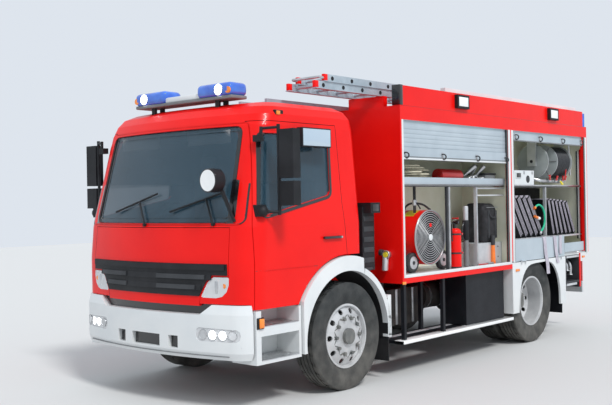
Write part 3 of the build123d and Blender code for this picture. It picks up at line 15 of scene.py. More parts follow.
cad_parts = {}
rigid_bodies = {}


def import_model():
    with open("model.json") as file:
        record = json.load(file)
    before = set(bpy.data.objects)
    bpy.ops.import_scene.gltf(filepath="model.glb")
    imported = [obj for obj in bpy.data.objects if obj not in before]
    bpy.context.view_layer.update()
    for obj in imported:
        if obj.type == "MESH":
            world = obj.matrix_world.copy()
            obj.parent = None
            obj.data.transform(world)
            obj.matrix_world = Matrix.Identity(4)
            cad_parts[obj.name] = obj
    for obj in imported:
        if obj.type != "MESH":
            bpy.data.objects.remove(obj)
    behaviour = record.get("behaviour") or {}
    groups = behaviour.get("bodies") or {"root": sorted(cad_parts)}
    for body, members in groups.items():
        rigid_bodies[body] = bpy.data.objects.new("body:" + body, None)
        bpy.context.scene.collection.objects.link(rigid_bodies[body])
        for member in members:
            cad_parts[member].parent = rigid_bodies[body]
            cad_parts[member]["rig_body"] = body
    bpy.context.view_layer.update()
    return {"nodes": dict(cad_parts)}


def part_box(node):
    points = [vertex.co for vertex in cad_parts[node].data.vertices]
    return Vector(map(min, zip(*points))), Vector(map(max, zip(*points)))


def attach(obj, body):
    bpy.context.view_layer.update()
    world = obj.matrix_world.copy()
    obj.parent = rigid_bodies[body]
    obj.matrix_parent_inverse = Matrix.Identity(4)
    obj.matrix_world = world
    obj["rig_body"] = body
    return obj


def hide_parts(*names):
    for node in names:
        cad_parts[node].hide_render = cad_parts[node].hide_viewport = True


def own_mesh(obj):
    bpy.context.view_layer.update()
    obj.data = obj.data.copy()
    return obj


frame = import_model()
nodes = frame["nodes"]
front_axle = -1.835
rear_axle = front_axle + 3.56
WHEEL_Z = 0.5


def at(x, y, z):
    """A point with its Y counted from the front axle."""
    return (x, front_axle + y, z)


def along(start, end):
    """A Y range counted from the front axle."""
    return (front_axle + start, front_axle + end)


def span(side, inner, outer):
    """An X range on one side of the vehicle: 1 is left, -1 is right."""
    return sorted((side * inner, side * outer))


print("pieces in the frame:", len(nodes))

# %% [markdown]
# The camera stands where a person with a camera would, a little in front of the left front corner and
# at eye height. Its place and lens were found by matching the wheels, the body corners and the cab
# edges, so the solid model lands on the same places in the picture.

# %% Set up the camera
camera_place = Vector((6.401, -8.439, 1.752))
camera_yaw = math.radians(41.04)
camera_roll = math.radians(-1.03)
camera_data = bpy.data.cameras.new("camera")
camera_data.lens = 53.19
camera_data.sensor_width = 36.0
camera = bpy.data.objects.new("camera", camera_data)
bpy.context.scene.collection.objects.link(camera)
camera.matrix_world = (Matrix.Translation(camera_place) @ Matrix.Rotation(camera_yaw, 4, "Z")
                       @ Matrix.Rotation(math.radians(90), 4, "X") @ Matrix.Rotation(camera_roll, 4, "Z"))
bpy.context.scene.camera = camera
bpy.context.scene.view_settings.view_transform = "Standard"
print("camera stands at", tuple(round(v, 2) for v in camera_place))

# %% [markdown]
# A pale plain floor and a pale sky hold the eye on the vehicle. The daylight in the picture is bright
# and soft from high on the left, so one large weak sun gives the shading and the sky fills the shadows.

# %% Floor and daylight
bpy.ops.mesh.primitive_plane_add(size=60, location=(0, 0, -0.002))
floor = bpy.context.object
floor.name = "floor"
floor_finish = bpy.data.materials.new("pale_floor")
floor_finish.use_nodes = True
floor_shader = floor_finish.node_tree.nodes["Principled BSDF"]
floor_shader.inputs["Base Color"].default_value = (0.62, 0.62, 0.61, 1)
floor_shader.inputs["Roughness"].default_value = 0.85
floor.data.materials.append(floor_finish)
world = bpy.data.worlds.new("sky")
bpy.context.scene.world = world
world.use_nodes = True
world.node_tree.nodes["Background"].inputs["Color"].default_value = (0.86, 0.92, 1.0, 1)
world.node_tree.nodes["Background"].inputs["Strength"].default_value = 0.85
sun_data = bpy.data.lights.new("sun", "SUN")
sun_data.energy = 2.2
sun_data.angle = math.radians(12)
sun = bpy.data.objects.new("sun", sun_data)
bpy.context.scene.collection.objects.link(sun)
sun.rotation_euler = (math.radians(42), math.radians(8), math.radians(62))
print("floor and light set")

# %% [markdown]
# Each finish is made by one small recipe: a noise in object coordinates mixes two close colours, a
# finer noise varies the roughness and can raise a little bump, and a height ramp adds road dust to
# the low parts. One recipe keeps the finishes alike in build and different in their numbers.

# %% Finish recipe
DUST = (0.36, 0.32, 0.27, 1)


def finish(name, base, tint, scale=3.0, rough=(0.3, 0.4), metal=0.0, bump=0.0, bump_scale=60.0, coat=0.0,
           dust=0.0, dust_top=1.2, clear=0.0, alpha=1.0, glow=0.0, shine=0.5):
    """A procedural finish: base and tint are the two colours that a noise mixes."""
    made = bpy.data.materials.new(name)
    made.use_nodes = True
    tree = made.node_tree

    def join(node, links, values):
        for socket, value in values.items():
            node.inputs[socket].default_value = value
        for socket, source in links.items():
            tree.links.new(source, node.inputs[socket])

    def add(kind, links, values, output, **settings):
        """One more node, set up and joined. Returns the output that the next node needs."""
        node = tree.nodes.new("ShaderNode" + kind)
        for setting, value in settings.items():
            setattr(node, setting, value)
        join(node, links, values)
        return node.outputs[output]

    place = add("TexCoord", {}, {}, "Object")
    cloud = add("TexNoise", {"Vector": place}, {"Scale": scale, "Detail": 4}, "Fac")
    colour = add("ValToRGB", {"Fac": cloud}, {}, "Color")
    for knot, position, value in zip(colour.node.color_ramp.elements, (0.35, 0.7), (base, tint)):
        knot.position = position
        knot.color = (*value, 1)
    if dust:
        height = add("SeparateXYZ", {"Vector": place}, {}, "Z")
        low = add("MapRange", {"Value": height}, {"From Min": dust_top, "From Max": 0.1, "To Max": dust}, "Result")
        patch = add("Math", {0: low, 1: cloud}, {}, "Value", operation="MULTIPLY")
        colour = add("Mix", {"Factor": patch, "A": colour}, {"B": DUST}, "Result", data_type="RGBA")
    fine = add("TexNoise", {"Vector": place}, {"Scale": bump_scale}, "Fac")
    polish = add("MapRange", {"Value": fine}, {"To Min": rough[0], "To Max": rough[1]}, "Result")
    links = {"Base Color": colour, "Roughness": polish}
    if bump:
        links["Normal"] = add("Bump", {"Height": fine}, {"Strength": bump, "Distance": 0.002}, "Normal")
    if glow:
        links["Emission Color"] = colour
    join(tree.nodes["Principled BSDF"], links,
         {"Metallic": metal, "Specular IOR Level": shine, "Coat Weight": coat, "Coat Roughness": 0.05,
          "Transmission Weight": clear, "Alpha": alpha, "Emission Strength": glow})
    return made


print("finish recipe ready")

# %% [markdown]
# These are the finishes on the vehicle. The red is a bright warm fire red under a clear coat, the
# bumper and wheel surrounds are white, and the shutters and shelves are pale anodised metal.

# %% Make the finishes
red_paint = finish("red_paint", (0.8, 0.004, 0.003), (0.88, 0.007, 0.004), 2.0, (0.3, 0.4), coat=0.1,
                   dust=0.06, dust_top=0.7, shine=0.2)
dark_red_paint = finish("dark_red_paint", (0.4, 0.006, 0.006), (0.48, 0.01, 0.01), 4.0, (0.3, 0.42), coat=0.3)
white_paint = finish("white_paint", (0.66, 0.69, 0.7), (0.74, 0.76, 0.76), 3.0, (0.25, 0.4), coat=0.3,
                     dust=0.35, dust_top=0.9)
black_plastic = finish("black_plastic", (0.008, 0.009, 0.011), (0.016, 0.017, 0.02), 6.0, (0.45, 0.65),
                       bump=0.3, dust=0.06, shine=0.3)
gloss_black = finish("gloss_black", (0.006, 0.006, 0.007), (0.014, 0.014, 0.016), 5.0, (0.12, 0.2), coat=0.6)
grey_plastic = finish("grey_plastic", (0.16, 0.165, 0.17), (0.22, 0.225, 0.23), 6.0, (0.45, 0.6), bump=0.2)
charcoal = finish("charcoal", (0.03, 0.032, 0.036), (0.05, 0.053, 0.058), 6.0, (0.45, 0.6), bump=0.2, shine=0.3)
chassis_paint = finish("chassis_paint", (0.01, 0.01, 0.012), (0.03, 0.028, 0.026), 7.0, (0.5, 0.75), bump=0.4,
                       dust=0.22, shine=0.3)
tyre_rubber = finish("tyre_rubber", (0.02, 0.023, 0.024), (0.05, 0.053, 0.052), 9.0, (0.7, 0.9), bump=0.5,
                     dust=0.3, dust_top=0.8)
hose_rubber = finish("hose_rubber", (0.016, 0.018, 0.022), (0.035, 0.037, 0.042), 20.0, (0.45, 0.6), bump=0.2)
rim_paint = finish("rim_paint", (0.5, 0.51, 0.52), (0.66, 0.67, 0.68), 8.0, (0.3, 0.45), metal=0.35, dust=0.4,
                   dust_top=0.9)
bare_metal = finish("bare_metal", (0.5, 0.51, 0.52), (0.66, 0.67, 0.68), 12.0, (0.25, 0.42), metal=0.9)
shutter_metal = finish("shutter_metal", (0.42, 0.49, 0.54), (0.5, 0.57, 0.62), 3.0, (0.35, 0.45), metal=0.25)
shelf_metal = finish("shelf_metal", (0.56, 0.58, 0.6), (0.68, 0.69, 0.7), 8.0, (0.35, 0.5), metal=0.5, bump=0.1)
wall_paint = finish("wall_paint", (0.82, 0.82, 0.64), (0.88, 0.88, 0.72), 5.0, (0.45, 0.6))
glass_clear = finish("glass_clear", (0.03, 0.075, 0.11), (0.05, 0.1, 0.14), 2.0, (0.02, 0.05), alpha=0.5, coat=0.6)
lens_clear = finish("lens_clear", (0.8, 0.82, 0.84), (0.9, 0.91, 0.92), 9.0, (0.05, 0.12), clear=0.35, coat=1.0)
lens_orange = finish("lens_orange", (0.85, 0.2, 0.01), (0.95, 0.3, 0.02), 12.0, (0.12, 0.2), coat=0.8)
lens_red = finish("lens_red", (0.5, 0.01, 0.01), (0.62, 0.02, 0.02), 12.0, (0.12, 0.2), coat=0.8)
lens_blue = finish("lens_blue", (0.02, 0.1, 0.55), (0.05, 0.2, 0.75), 8.0, (0.08, 0.15), coat=0.9)
lamp_lit = finish("lamp_lit", (0.95, 0.97, 1.0), (1.0, 1.0, 1.0), 8.0, (0.2, 0.3), glow=9.0)
# Mirror finish: a real mirror shine, with a pale blue colour that is painted sky reflection.
mirror_painted_sky = finish("mirror_painted_sky", (0.6, 0.72, 0.82), (0.66, 0.77, 0.86), 2.0, (0.04, 0.08), metal=0.7)
seat_cloth = finish("seat_cloth", (0.05, 0.055, 0.07), (0.09, 0.095, 0.11), 30.0, (0.8, 0.95), bump=0.6,
                    bump_scale=300.0)
black_cloth = finish("black_cloth", (0.014, 0.014, 0.016), (0.03, 0.03, 0.034), 18.0, (0.75, 0.92), bump=0.5,
                     bump_scale=200.0)
rope_fibre = finish("rope_fibre", (0.55, 0.5, 0.36), (0.7, 0.66, 0.52), 30.0, (0.8, 0.95), bump=0.5, bump_scale=250.0)
tape_cloth = finish("tape_cloth", (0.4, 0.37, 0.43), (0.55, 0.52, 0.58), 15.0, (0.7, 0.9), bump=0.2)
green_hose = finish("green_hose", (0.0, 0.42, 0.22), (0.02, 0.55, 0.32), 10.0, (0.4, 0.5))
yellow_paint = finish("yellow_paint", (0.8, 0.66, 0.02), (0.88, 0.74, 0.06), 10.0, (0.35, 0.5))
orange_plastic = finish("orange_plastic", (0.85, 0.17, 0.02), (0.92, 0.24, 0.04), 10.0, (0.4, 0.5))
lamp_white = finish("lamp_white", (0.86, 0.87, 0.86), (0.93, 0.93, 0.92), 9.0, (0.15, 0.25), coat=0.6)
reel_plastic = finish("reel_plastic", (0.42, 0.46, 0.46), (0.52, 0.56, 0.56), 6.0, (0.25, 0.35), alpha=0.75, coat=0.4)
box_black = finish("box_black", (0.007, 0.008, 0.011), (0.013, 0.014, 0.018), 5.0, (0.4, 0.55), bump=0.2, shine=0.25)
ladder_metal = finish("ladder_metal", (0.38, 0.45, 0.5), (0.5, 0.57, 0.62), 9.0, (0.3, 0.45), metal=0.4)
headlamp_lit = finish("headlamp_lit", (0.9, 0.92, 0.95), (1.0, 1.0, 1.0), 8.0, (0.2, 0.3), glow=1.6)
hub_grey = finish("hub_grey", (0.12, 0.13, 0.13), (0.2, 0.2, 0.19), 12.0, (0.4, 0.55), metal=0.3, dust=0.2)
print("finishes:", len(bpy.data.materials))

# %% [markdown]
# Every solid that stays in view takes one finish here. The table is read from the finish to the nodes
# that wear it, so a change of one colour is one line.

# %% Paint the CAD pieces
worn = {
    red_paint: "cab_shell door_left door_right front_flap roof_parapets body_shell fan fire_extinguisher",
    white_paint: "bumper cab_steps front_arches rear_fenders power_box",
    black_plastic: "grille mudguards dashboard steering_wheel wipers mirrors_left mirrors_right intake_stack "
                   "searchlight scene_lamps hose_cassettes",
    chassis_paint: "frame_rails body_subframe cab_rests towing_jaw engine_block leaf_springs front_axle rear_axle "
                   "propeller_shaft underframe_tanks knuckle_left knuckle_right",
    tyre_rubber: "tyre_front_left tyre_front_right tyres_rear_left tyres_rear_right",
    rim_paint: "rim_front_left rim_front_right rims_rear_left rims_rear_right",
    shutter_metal: "shutters_closed shutters_raised step_flap locker_sill",
    shelf_metal: "locker_shelves rear_step flap_hinges reel_brackets",
    ladder_metal: "ladders",
    # The running boards' near-black is partly painted shade: their tread plates lie in shadow.
    box_black: "side_boxes running_boards",
    glass_clear: "windscreen door_glass_left door_glass_right",
    lens_clear: "lamps",
    lens_blue: "light_bar",
    seat_cloth: "seats",
    black_cloth: "gear_bag shelf_gear",
    hose_rubber: "hose_reel",
}
painted = set()
for surface, names in worn.items():
    for name in names.split():
        nodes[name].data.materials.clear()
        nodes[name].data.materials.append(surface)
        painted.add(name)
print("not painted:", sorted(set(nodes) - painted))

# %% [markdown]
# The cab and the locker body are one solid each, so their inside faces get a lining of their own: a
# face that looks towards the middle of the cab is trim, and a face inside the lockers is pale paint.

# %% Line the cab and the lockers
def repaint(name, surface, wanted):
    """Gives another finish to the faces of a CAD piece that pass a test."""
    mesh = nodes[name].data
    mesh.materials.append(surface)
    chosen = [face for face in mesh.polygons if wanted(face)]
    for face in chosen:
        face.material_index = len(mesh.materials) - 1
    return len(chosen)


def from_axle(face, axle_y, axle_z=WHEEL_Z):
    """How far a face is from an axle that crosses the vehicle."""
    return math.hypot(face.center.y - axle_y, face.center.z - axle_z)


cab_trim = finish("cab_trim", (0.035, 0.036, 0.04), (0.06, 0.06, 0.065), 9.0, (0.6, 0.8), bump=0.3)
cab_middle = Vector(at(0, -0.5, 1.75))
body_low, body_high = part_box("body_shell")
WHEEL_ROOM = 0.79
WHEEL_ROOM_X = 1.12
LOCKER_FLOOR_Z = 1.0
FRAME_DEPTH = 0.045


def cab_inside(face):
    """The cab's lining: faces over the wheels, and faces that look towards its middle."""
    over_wheel = from_axle(face, front_axle) < WHEEL_ROOM and abs(face.center.x) < WHEEL_ROOM_X
    return over_wheel or face.normal.dot((cab_middle - face.center).normalized()) > 0.2


def locker_depth(face):
    """How deep a face lies in the lockers, or 0 outside them."""
    depth = body_high[0] - abs(face.center.x)
    ends = min(face.center.y - body_low[1], body_high[1] - face.center.y)
    inside = face.center.z > LOCKER_FLOOR_Z and depth > 0.012 and ends > 0.03 and body_high[2] - face.center.z > 0.02
    return depth if inside else 0


for name in ("cab_shell", "door_left", "door_right", "front_flap"):
    repaint(name, cab_trim, cab_inside)
lined = repaint("body_shell", wall_paint, lambda face: locker_depth(face) > FRAME_DEPTH)
lined += repaint("body_shell", white_paint,
                 lambda face: 0 < locker_depth(face) <= FRAME_DEPTH and face.normal.y >= -0.9)
lined += repaint("body_shell", charcoal, lambda face: face.center.z < 0.999 and face.center.y > rear_axle + 0.84)
repaint("rear_fenders", box_black, lambda face: abs(face.center.x) < 1.2 and face.center.y > rear_axle)
print("lined faces:", lined)

# %% [markdown]
# A few short tools do the same steps for every piece: shape it from a primitive, bring its place into
# the mesh, weld it, turn its faces outward, give it a finish and let it ride on its body.

# %% Modelling tools
def edit(action="SELECT", kind=None):
    """Goes into edit mode. action says what is selected there, and None keeps the selection."""
    bpy.ops.object.mode_set(mode="EDIT")
    if kind:
        bpy.ops.mesh.select_mode(type=kind)
    if action:
        bpy.ops.mesh.select_all(action=action)


def leave():
    bpy.ops.object.mode_set(mode="OBJECT")


def settle():
    """Writes the place, turn and scale of the new piece into its mesh."""
    bpy.ops.object.transform_apply(location=True, rotation=True, scale=True)


def choose(piece, wanted):
    """Goes into edit mode with the faces that pass a test selected."""
    edit("DESELECT", "FACE")
    leave()
    for face in piece.data.polygons:
        face.select = wanted(face)
    edit(None)


def modify(piece, kind, **settings):
    """Adds a modifier to the new piece, sets it and applies it."""
    modifier = piece.modifiers.new(kind, kind)
    for setting, value in settings.items():
        setattr(modifier, setting, value)
    bpy.ops.object.modifier_apply(modifier=kind)


def dress(piece, name, surface, body="chassis", smooth=None):
    """Ends a piece: placed in its mesh, welded, faces outward, finished, riding on its body."""
    bpy.ops.object.select_all(action="DESELECT")
    piece.select_set(True)
    bpy.context.view_layer.objects.active = piece
    piece.name = name
    settle()
    edit()
    bpy.ops.mesh.remove_doubles(threshold=0.00005)
    bpy.ops.mesh.normals_make_consistent(inside=False)
    leave()
    if smooth:
        bpy.ops.object.shade_smooth_by_angle(angle=math.radians(smooth))
    piece.data.materials.clear()
    piece.data.materials.append(surface)
    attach(piece, body)
    return piece


def turned(axis):
    """The rotation that lays the Z axis along another one."""
    return Vector(axis).to_track_quat("Z", "Y")


def box(name, xs, ys, zs, surface, body="chassis", bevel=0.0, segments=2):
    """A box between two corners, with its edges bevelled."""
    bpy.ops.mesh.primitive_cube_add(size=1, location=[sum(v) / 2 for v in (xs, ys, zs)])
    piece = bpy.context.object
    piece.scale = [v[1] - v[0] for v in (xs, ys, zs)]
    settle()
    if bevel:
        edit()
        bpy.ops.mesh.bevel(offset=bevel, segments=segments, affect="EDGES")
        leave()
    return dress(piece, name, surface, body, smooth=40 if bevel else None)


def bar(name, start, end, radius, surface, body="chassis", sides=16, top_radius=None, bevel=0.0):
    """A round bar or cone between two points."""
    start, end = Vector(start), Vector(end)
    run = end - start
    bpy.ops.mesh.primitive_cone_add(vertices=sides, radius1=radius,
                                    radius2=radius if top_radius is None else top_radius,
                                    depth=run.length, location=(start + end) / 2, rotation=turned(run).to_euler())
    piece = bpy.context.object
    if bevel:
        choose(piece, lambda face: len(face.vertices) > 4)
        bpy.ops.mesh.region_to_loop()
        bpy.ops.mesh.bevel(offset=bevel, segments=3, affect="EDGES")
        leave()
    return dress(piece, name, surface, body, smooth=35)


def pipe(name, points, radius, surface, body="chassis", sides=4, closed=False, sharp=False):
    """A bent round tube through points, made as a curve with a round section and then a mesh."""
    bpy.ops.curve.primitive_bezier_curve_add(location=(0, 0, 0))
    curve = bpy.context.object.data
    spline = curve.splines[0]
    spline.bezier_points.add(len(points) - 2)
    for knot, point in zip(spline.bezier_points, points):
        knot.co = point
        knot.handle_left_type = knot.handle_right_type = "VECTOR" if sharp else "AUTO"
    spline.use_cyclic_u = closed
    curve.bevel_depth = radius
    curve.bevel_resolution = sides
    curve.resolution_u = 1 if sharp else 6
    curve.use_fill_caps = not closed
    bpy.ops.object.convert(target="MESH")
    return dress(bpy.context.object, name, surface, body, smooth=50)


def hoop(name, centre, axis, radius, thickness, surface, body="chassis", steps=48, sides=10):
    """A round ring about an axis."""
    bpy.ops.mesh.primitive_torus_add(major_radius=radius, minor_radius=thickness, major_segments=steps,
                                     minor_segments=sides, location=centre, rotation=turned(axis).to_euler())
    return dress(bpy.context.object, name, surface, body, smooth=60)


def copy_piece(piece, name, move, body=None):
    """A copy with a mesh of its own, moved by a matrix."""
    twin = piece.copy()
    twin.data = piece.data.copy()
    twin.data.transform(move)
    if move.determinant() < 0:
        twin.data.flip_normals()
    twin.name = name
    bpy.context.scene.collection.objects.link(twin)
    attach(twin, body or piece["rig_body"])
    return twin


def across(piece, name):
    """The mirror image on the other side of the vehicle."""
    return copy_piece(piece, name, Matrix.Scale(-1, 4, (1, 0, 0)))


def boxes(rows, mirrored=False):
    """A box from each row: name, X range, Y range from the front axle, Z range, finish and bevel."""
    for name, xs, ys, zs, surface, bevel in rows:
        piece = box(name, xs, along(*ys), zs, surface, bevel=bevel)
        if mirrored:
            across(piece, name + "_right")


def dense(points, step=0.05):
    """The closed outline with extra points along its straight stretches."""
    made = []
    for start, end in zip(points, points[1:] + points[:1]):
        start, end = Vector(start), Vector(end)
        count = max(1, math.ceil((end - start).length / step))
        made += [start.lerp(end, number / count) for number in range(count)]
    return made


def decal(name, outlines, target, towards, lift, thick, surface, body="chassis"):
    """A thin plate with holes, laid on a CAD face by projection. towards is "Y", "-X" or "X"."""
    bpy.ops.curve.primitive_bezier_curve_add(location=(0, 0, 0))
    curve = bpy.context.object.data
    curve.dimensions = "2D"
    curve.fill_mode = "BOTH"
    curve.splines.clear()
    for outline in outlines:
        points = dense(outline)
        spline = curve.splines.new("POLY")
        spline.points.add(len(points) - 1)
        for knot, point in zip(spline.points, points):
            knot.co = (*point, 0, 1)
        spline.use_cyclic_u = True
    bpy.ops.object.convert(target="MESH")
    piece = bpy.context.object
    piece.rotation_euler = (math.radians(90), 0, 0 if towards == "Y" else math.radians(90))
    piece.location = {"Y": (0, -4, 0), "-X": (3, 0, 0), "X": (-3, 0, 0)}[towards]
    settle()
    modify(piece, "SHRINKWRAP", target=nodes[target], wrap_method="PROJECT", use_project_y=towards == "Y",
           use_project_x=towards != "Y", use_positive_direction=towards in ("Y", "X"),
           use_negative_direction=towards == "-X")
    out = {"Y": (0, -1, 0), "-X": (1, 0, 0), "X": (-1, 0, 0)}[towards]
    edit()
    bpy.ops.mesh.remove_doubles(threshold=0.0001)
    bpy.ops.transform.translate(value=[lift * v for v in out])
    bpy.ops.mesh.extrude_region_move(TRANSFORM_OT_translate={"value": [thick * v for v in out]})
    leave()
    return dress(piece, name, surface, body)


print("tools ready")

# %% [markdown]
# Each tyre is a drum with sidewalls of inset rings and a tread that is cut by bisecting planes. The narrow
# bands between close planes are pushed in as grooves, and every third face of the shoulder bands goes in
# as well, which leaves the blocks. One tyre is modelled and copied to the six places.

# %% Model one tyre
TYRE_RADIUS = 0.4995
TREAD_HALF = 0.105
TREAD_REACH = 0.497
GROOVE_HALF = 0.005
GROOVE_DEPTH = 0.011
SHOULDER_DEPTH = 0.006
HUB_REACH = 0.075
STUD_CIRCLE = 0.167
STEPS = 96
bpy.ops.mesh.primitive_cylinder_add(vertices=STEPS, radius=TYRE_RADIUS, depth=2 * TREAD_HALF,
                                    rotation=(0, math.radians(90), 0))
tyre = bpy.context.object
settle()
# Rings of the sidewall: how far out from the tread edge, and the radius there
side_rings = [(0.012, 0.49), (0.0215, 0.455), (0.0225, 0.41), (0.021, 0.385), (0.016, 0.35), (0.004, 0.318),
              (-0.006, 0.303), (-0.008, 0.288)]
for side in (1, -1):
    choose(tyre, lambda face: len(face.vertices) > 4 and face.center.x * side > 0)
    radius, reach = TYRE_RADIUS, 0.0
    for out, ring_radius in side_rings:
        bpy.ops.mesh.inset(thickness=(radius - ring_radius) * math.cos(math.pi / STEPS))
        bpy.ops.transform.translate(value=(side * (out - reach), 0, 0))
        radius, reach = ring_radius, out
    bpy.ops.mesh.delete(type="FACE")
    leave()
grooves = [-0.062, -0.022, 0.022, 0.062]
edit(kind="EDGE")
for middle in grooves:
    for edge_x in (middle - GROOVE_HALF, middle + GROOVE_HALF):
        bpy.ops.mesh.select_all(action="SELECT")
        bpy.ops.mesh.bisect(plane_co=(edge_x, 0, 0), plane_no=(1, 0, 0))
leave()


def third_step(face):
    return int(math.degrees(math.atan2(face.center.z, face.center.y)) % 360 / (360 / STEPS)) % 3 == 0


def push_in(depth, wanted):
    """Pushes the chosen faces of the tread towards the hub."""
    choose(tyre, lambda face: math.hypot(face.center.y, face.center.z) > TREAD_REACH and wanted(face))
    bpy.ops.mesh.extrude_region_shrink_fatten(TRANSFORM_OT_shrink_fatten={"value": -depth})
    leave()


push_in(GROOVE_DEPTH, lambda face: any(abs(face.center.x - middle) < GROOVE_HALF / 2 for middle in grooves))
push_in(SHOULDER_DEPTH, lambda face: 0.068 < abs(face.center.x) < 0.11 and third_step(face))
dress(tyre, "tyre_pattern", tyre_rubber, "wheel_front_left", smooth=32)
wheel_rows = [
    # place, x, y, body, tyre solid that it replaces
    ("front_left", 1.02, front_axle, "wheel_front_left", "tyre_front_left"),
    ("front_right", -1.02, front_axle, "wheel_front_right", "tyre_front_right"),
    ("rear_left_out", 1.085, rear_axle, "wheels_rear_left", "tyres_rear_left"),
    ("rear_left_in", 0.785, rear_axle, "wheels_rear_left", None),
    ("rear_right_out", -1.085, rear_axle, "wheels_rear_right", "tyres_rear_right"),
    ("rear_right_in", -0.785, rear_axle, "wheels_rear_right", None),
]
for place, x, y, body, solid in wheel_rows:
    made = copy_piece(tyre, "tread_" + place, Matrix.Translation((x, y, WHEEL_Z)), body)
    if solid:
        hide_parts(solid)
bpy.data.objects.remove(tyre)


def hub_or_nut(face, axle_y):
    reach = from_axle(face, axle_y)
    return reach < HUB_REACH or (abs(reach - STUD_CIRCLE) < 0.02 and face.area < 0.0009)


for side in ("left", "right"):
    repaint("rim_front_" + side, hub_grey, lambda face: hub_or_nut(face, front_axle))
    repaint("rims_rear_" + side, hub_grey, lambda face: hub_or_nut(face, rear_axle))
print("tyres:", len(wheel_rows))

# %% [markdown]
# The windscreen sits in a black seal on the cab and has a black printed border on the glass. The seal
# and the border are flat rings that are projected onto the curved faces.

# %% Windscreen seal, border and door window frames
def rounded(corners, radius, grow=0.0, steps=6):
    """A closed outline with round corners, grown outward by a distance. The corners run anticlockwise."""
    made = []
    for number, corner in enumerate(corners):
        here, before, after = Vector(corner), Vector(corners[number - 1]), Vector(corners[(number + 1) % len(corners)])
        arriving, leaving = (here - before).normalized(), (after - here).normalized()
        turn = arriving.angle_signed(leaving)
        centre = here + (leaving - arriving).normalized() * (radius / math.cos(turn / 2))
        outward = Vector((arriving.y, -arriving.x))
        for step in range(steps + 1):
            made.append(tuple(centre + (Matrix.Rotation(abs(turn) * step / steps, 2) @ outward) * (radius + grow)))
    return made


# Corners of the windscreen and of its seal, in X and Z
SCREEN = [(-0.925, 1.59), (0.925, 1.59), (0.885, 2.422), (-0.885, 2.422)]
SEAL = [(-1.06, 1.575), (1.06, 1.575), (1.005, 2.45), (-1.005, 2.45)]
decal("windscreen_seal", [rounded(SEAL, 0.06), rounded(SCREEN, 0.07, 0.003)], "cab_shell", "Y", 0.001, 0.004,
      gloss_black)
decal("windscreen_border", [rounded(SCREEN, 0.07, -0.006), rounded(SCREEN, 0.07, -0.045)], "windscreen", "Y",
      0.001, 0.003, gloss_black)
front_edge, back_edge = along(-1.2, 0.03)
# Corners of a door's window, in Y and Z
WINDOW = [(front_edge + 0.07, 1.64), (back_edge - 0.245, 1.82), (back_edge - 0.22, 2.36), (front_edge + 0.183, 2.352)]
for side, towards in (("left", "-X"), ("right", "X")):
    door = "door_" + side
    decal("window_frame_" + side, [rounded(WINDOW, 0.055, 0.03), rounded(WINDOW, 0.055, 0.003)], door, towards,
          0.001, 0.004, gloss_black, door)
print("seals and frames made")

# %% [markdown]
# The front of the cab is bowed to a radius of four metres. A strip that follows it is a small
# rectangle spun about that far axis, so slats, bars and panels all keep the bow.

# %% Bowed strips for the grille
BOW = 4.0
# The cab's front on the middle line: the height, and Y from the front axle
CAB_FRONT = [(0.86, -1.432), (1.245, -1.43), (1.557, -1.4), (2.43, -1.17)]
BUMPER_FRONT = -3.299
BUMPER_CORNER_X = 0.978
BUMPER_CORNER_RADIUS = 0.23
BUMPER_CORNER_CENTRE = (0.922, 0.3445)


def front_y(x, z):
    """Y of the cab's front at a place across and a height."""
    for low, high in zip(CAB_FRONT, CAB_FRONT[1:]):
        if z <= high[0]:
            break
    middle = low[1] + (z - low[0]) / (high[0] - low[0]) * (high[1] - low[1])
    return front_axle + middle + BOW - math.sqrt(BOW ** 2 - x ** 2)


def bumper_y(x):
    """Y of the bumper's front face at a place across."""
    if abs(x) < BUMPER_CORNER_X:
        return BUMPER_FRONT + BOW - math.sqrt(BOW ** 2 - x ** 2)
    centre_x, centre_y = BUMPER_CORNER_CENTRE
    return BUMPER_FRONT + centre_y - math.sqrt(BUMPER_CORNER_RADIUS ** 2 - (abs(x) - centre_x) ** 2)


def bowed(name, xs, zs, front, depth, surface, body="chassis", lean=0.0, steps=14):
    """A strip spun about the bow's axis. front is the Y of its front face on the middle line."""
    axis_y = front + BOW
    end, start = (math.asin(x / BOW) for x in xs)
    bpy.ops.mesh.primitive_plane_add(size=1, location=(0, front + depth / 2, sum(zs) / 2),
                                     rotation=(0, math.radians(90), 0))
    piece = bpy.context.object
    piece.scale = (zs[1] - zs[0], depth, 1)
    settle()
    for vertex in piece.data.vertices:
        vertex.co.y += lean * (vertex.co.z - zs[0])
    to_axis = Matrix.Translation((0, axis_y, 0))
    piece.data.transform(to_axis @ Matrix.Rotation(start, 4, "Z") @ to_axis.inverted())
    edit()
    bpy.ops.mesh.spin(steps=steps, angle=start - end, center=(0, axis_y, 0), axis=(0, 0, 1))
    leave()
    return dress(piece, name, surface, body, smooth=40)


grille_front = front_y(0, 1.15) - 0.008
bowed("grille_top_bar", (-0.9, 0.9), (1.192, 1.243), grille_front - 0.012, 0.03, black_plastic, "front_flap")
for number, (half, low) in enumerate(((0.76, 1.108), (0.655, 1.02))):
    bowed(f"grille_slat_{number}", (-half, half), (low, low + 0.05), grille_front - 0.01, 0.03, black_plastic,
          "front_flap", lean=0.15)
    for side, xs in enumerate(((-half + 0.04, -0.3), (0.14, half - 0.06))):
        bowed(f"grille_pad_{number}_{side}", xs, (low + 0.006, low + 0.044), grille_front - 0.019, 0.02, charcoal,
              "front_flap", lean=0.15)
bowed("gap_panel", (-0.75, 0.75), (0.8, 0.9), -3.235, 0.01, gloss_black)
bowed("bumper_lip", (-0.95, 0.95), (0.468, 0.476), -3.3045, 0.012, grey_plastic)
print("grille, gap panel and bumper lip made")

# %% [markdown]
# The lamps get what shows through their lenses: round bowls with bright rims in the headlamps, two of
# them lit, a clear bar and an orange bulb in the corner lamps. The dark intakes in the bumper get
# a black lining so that nothing shows through them.

# %% Lamps of the front
repaint("lamps", lens_red, lambda face: face.center.y > 2)
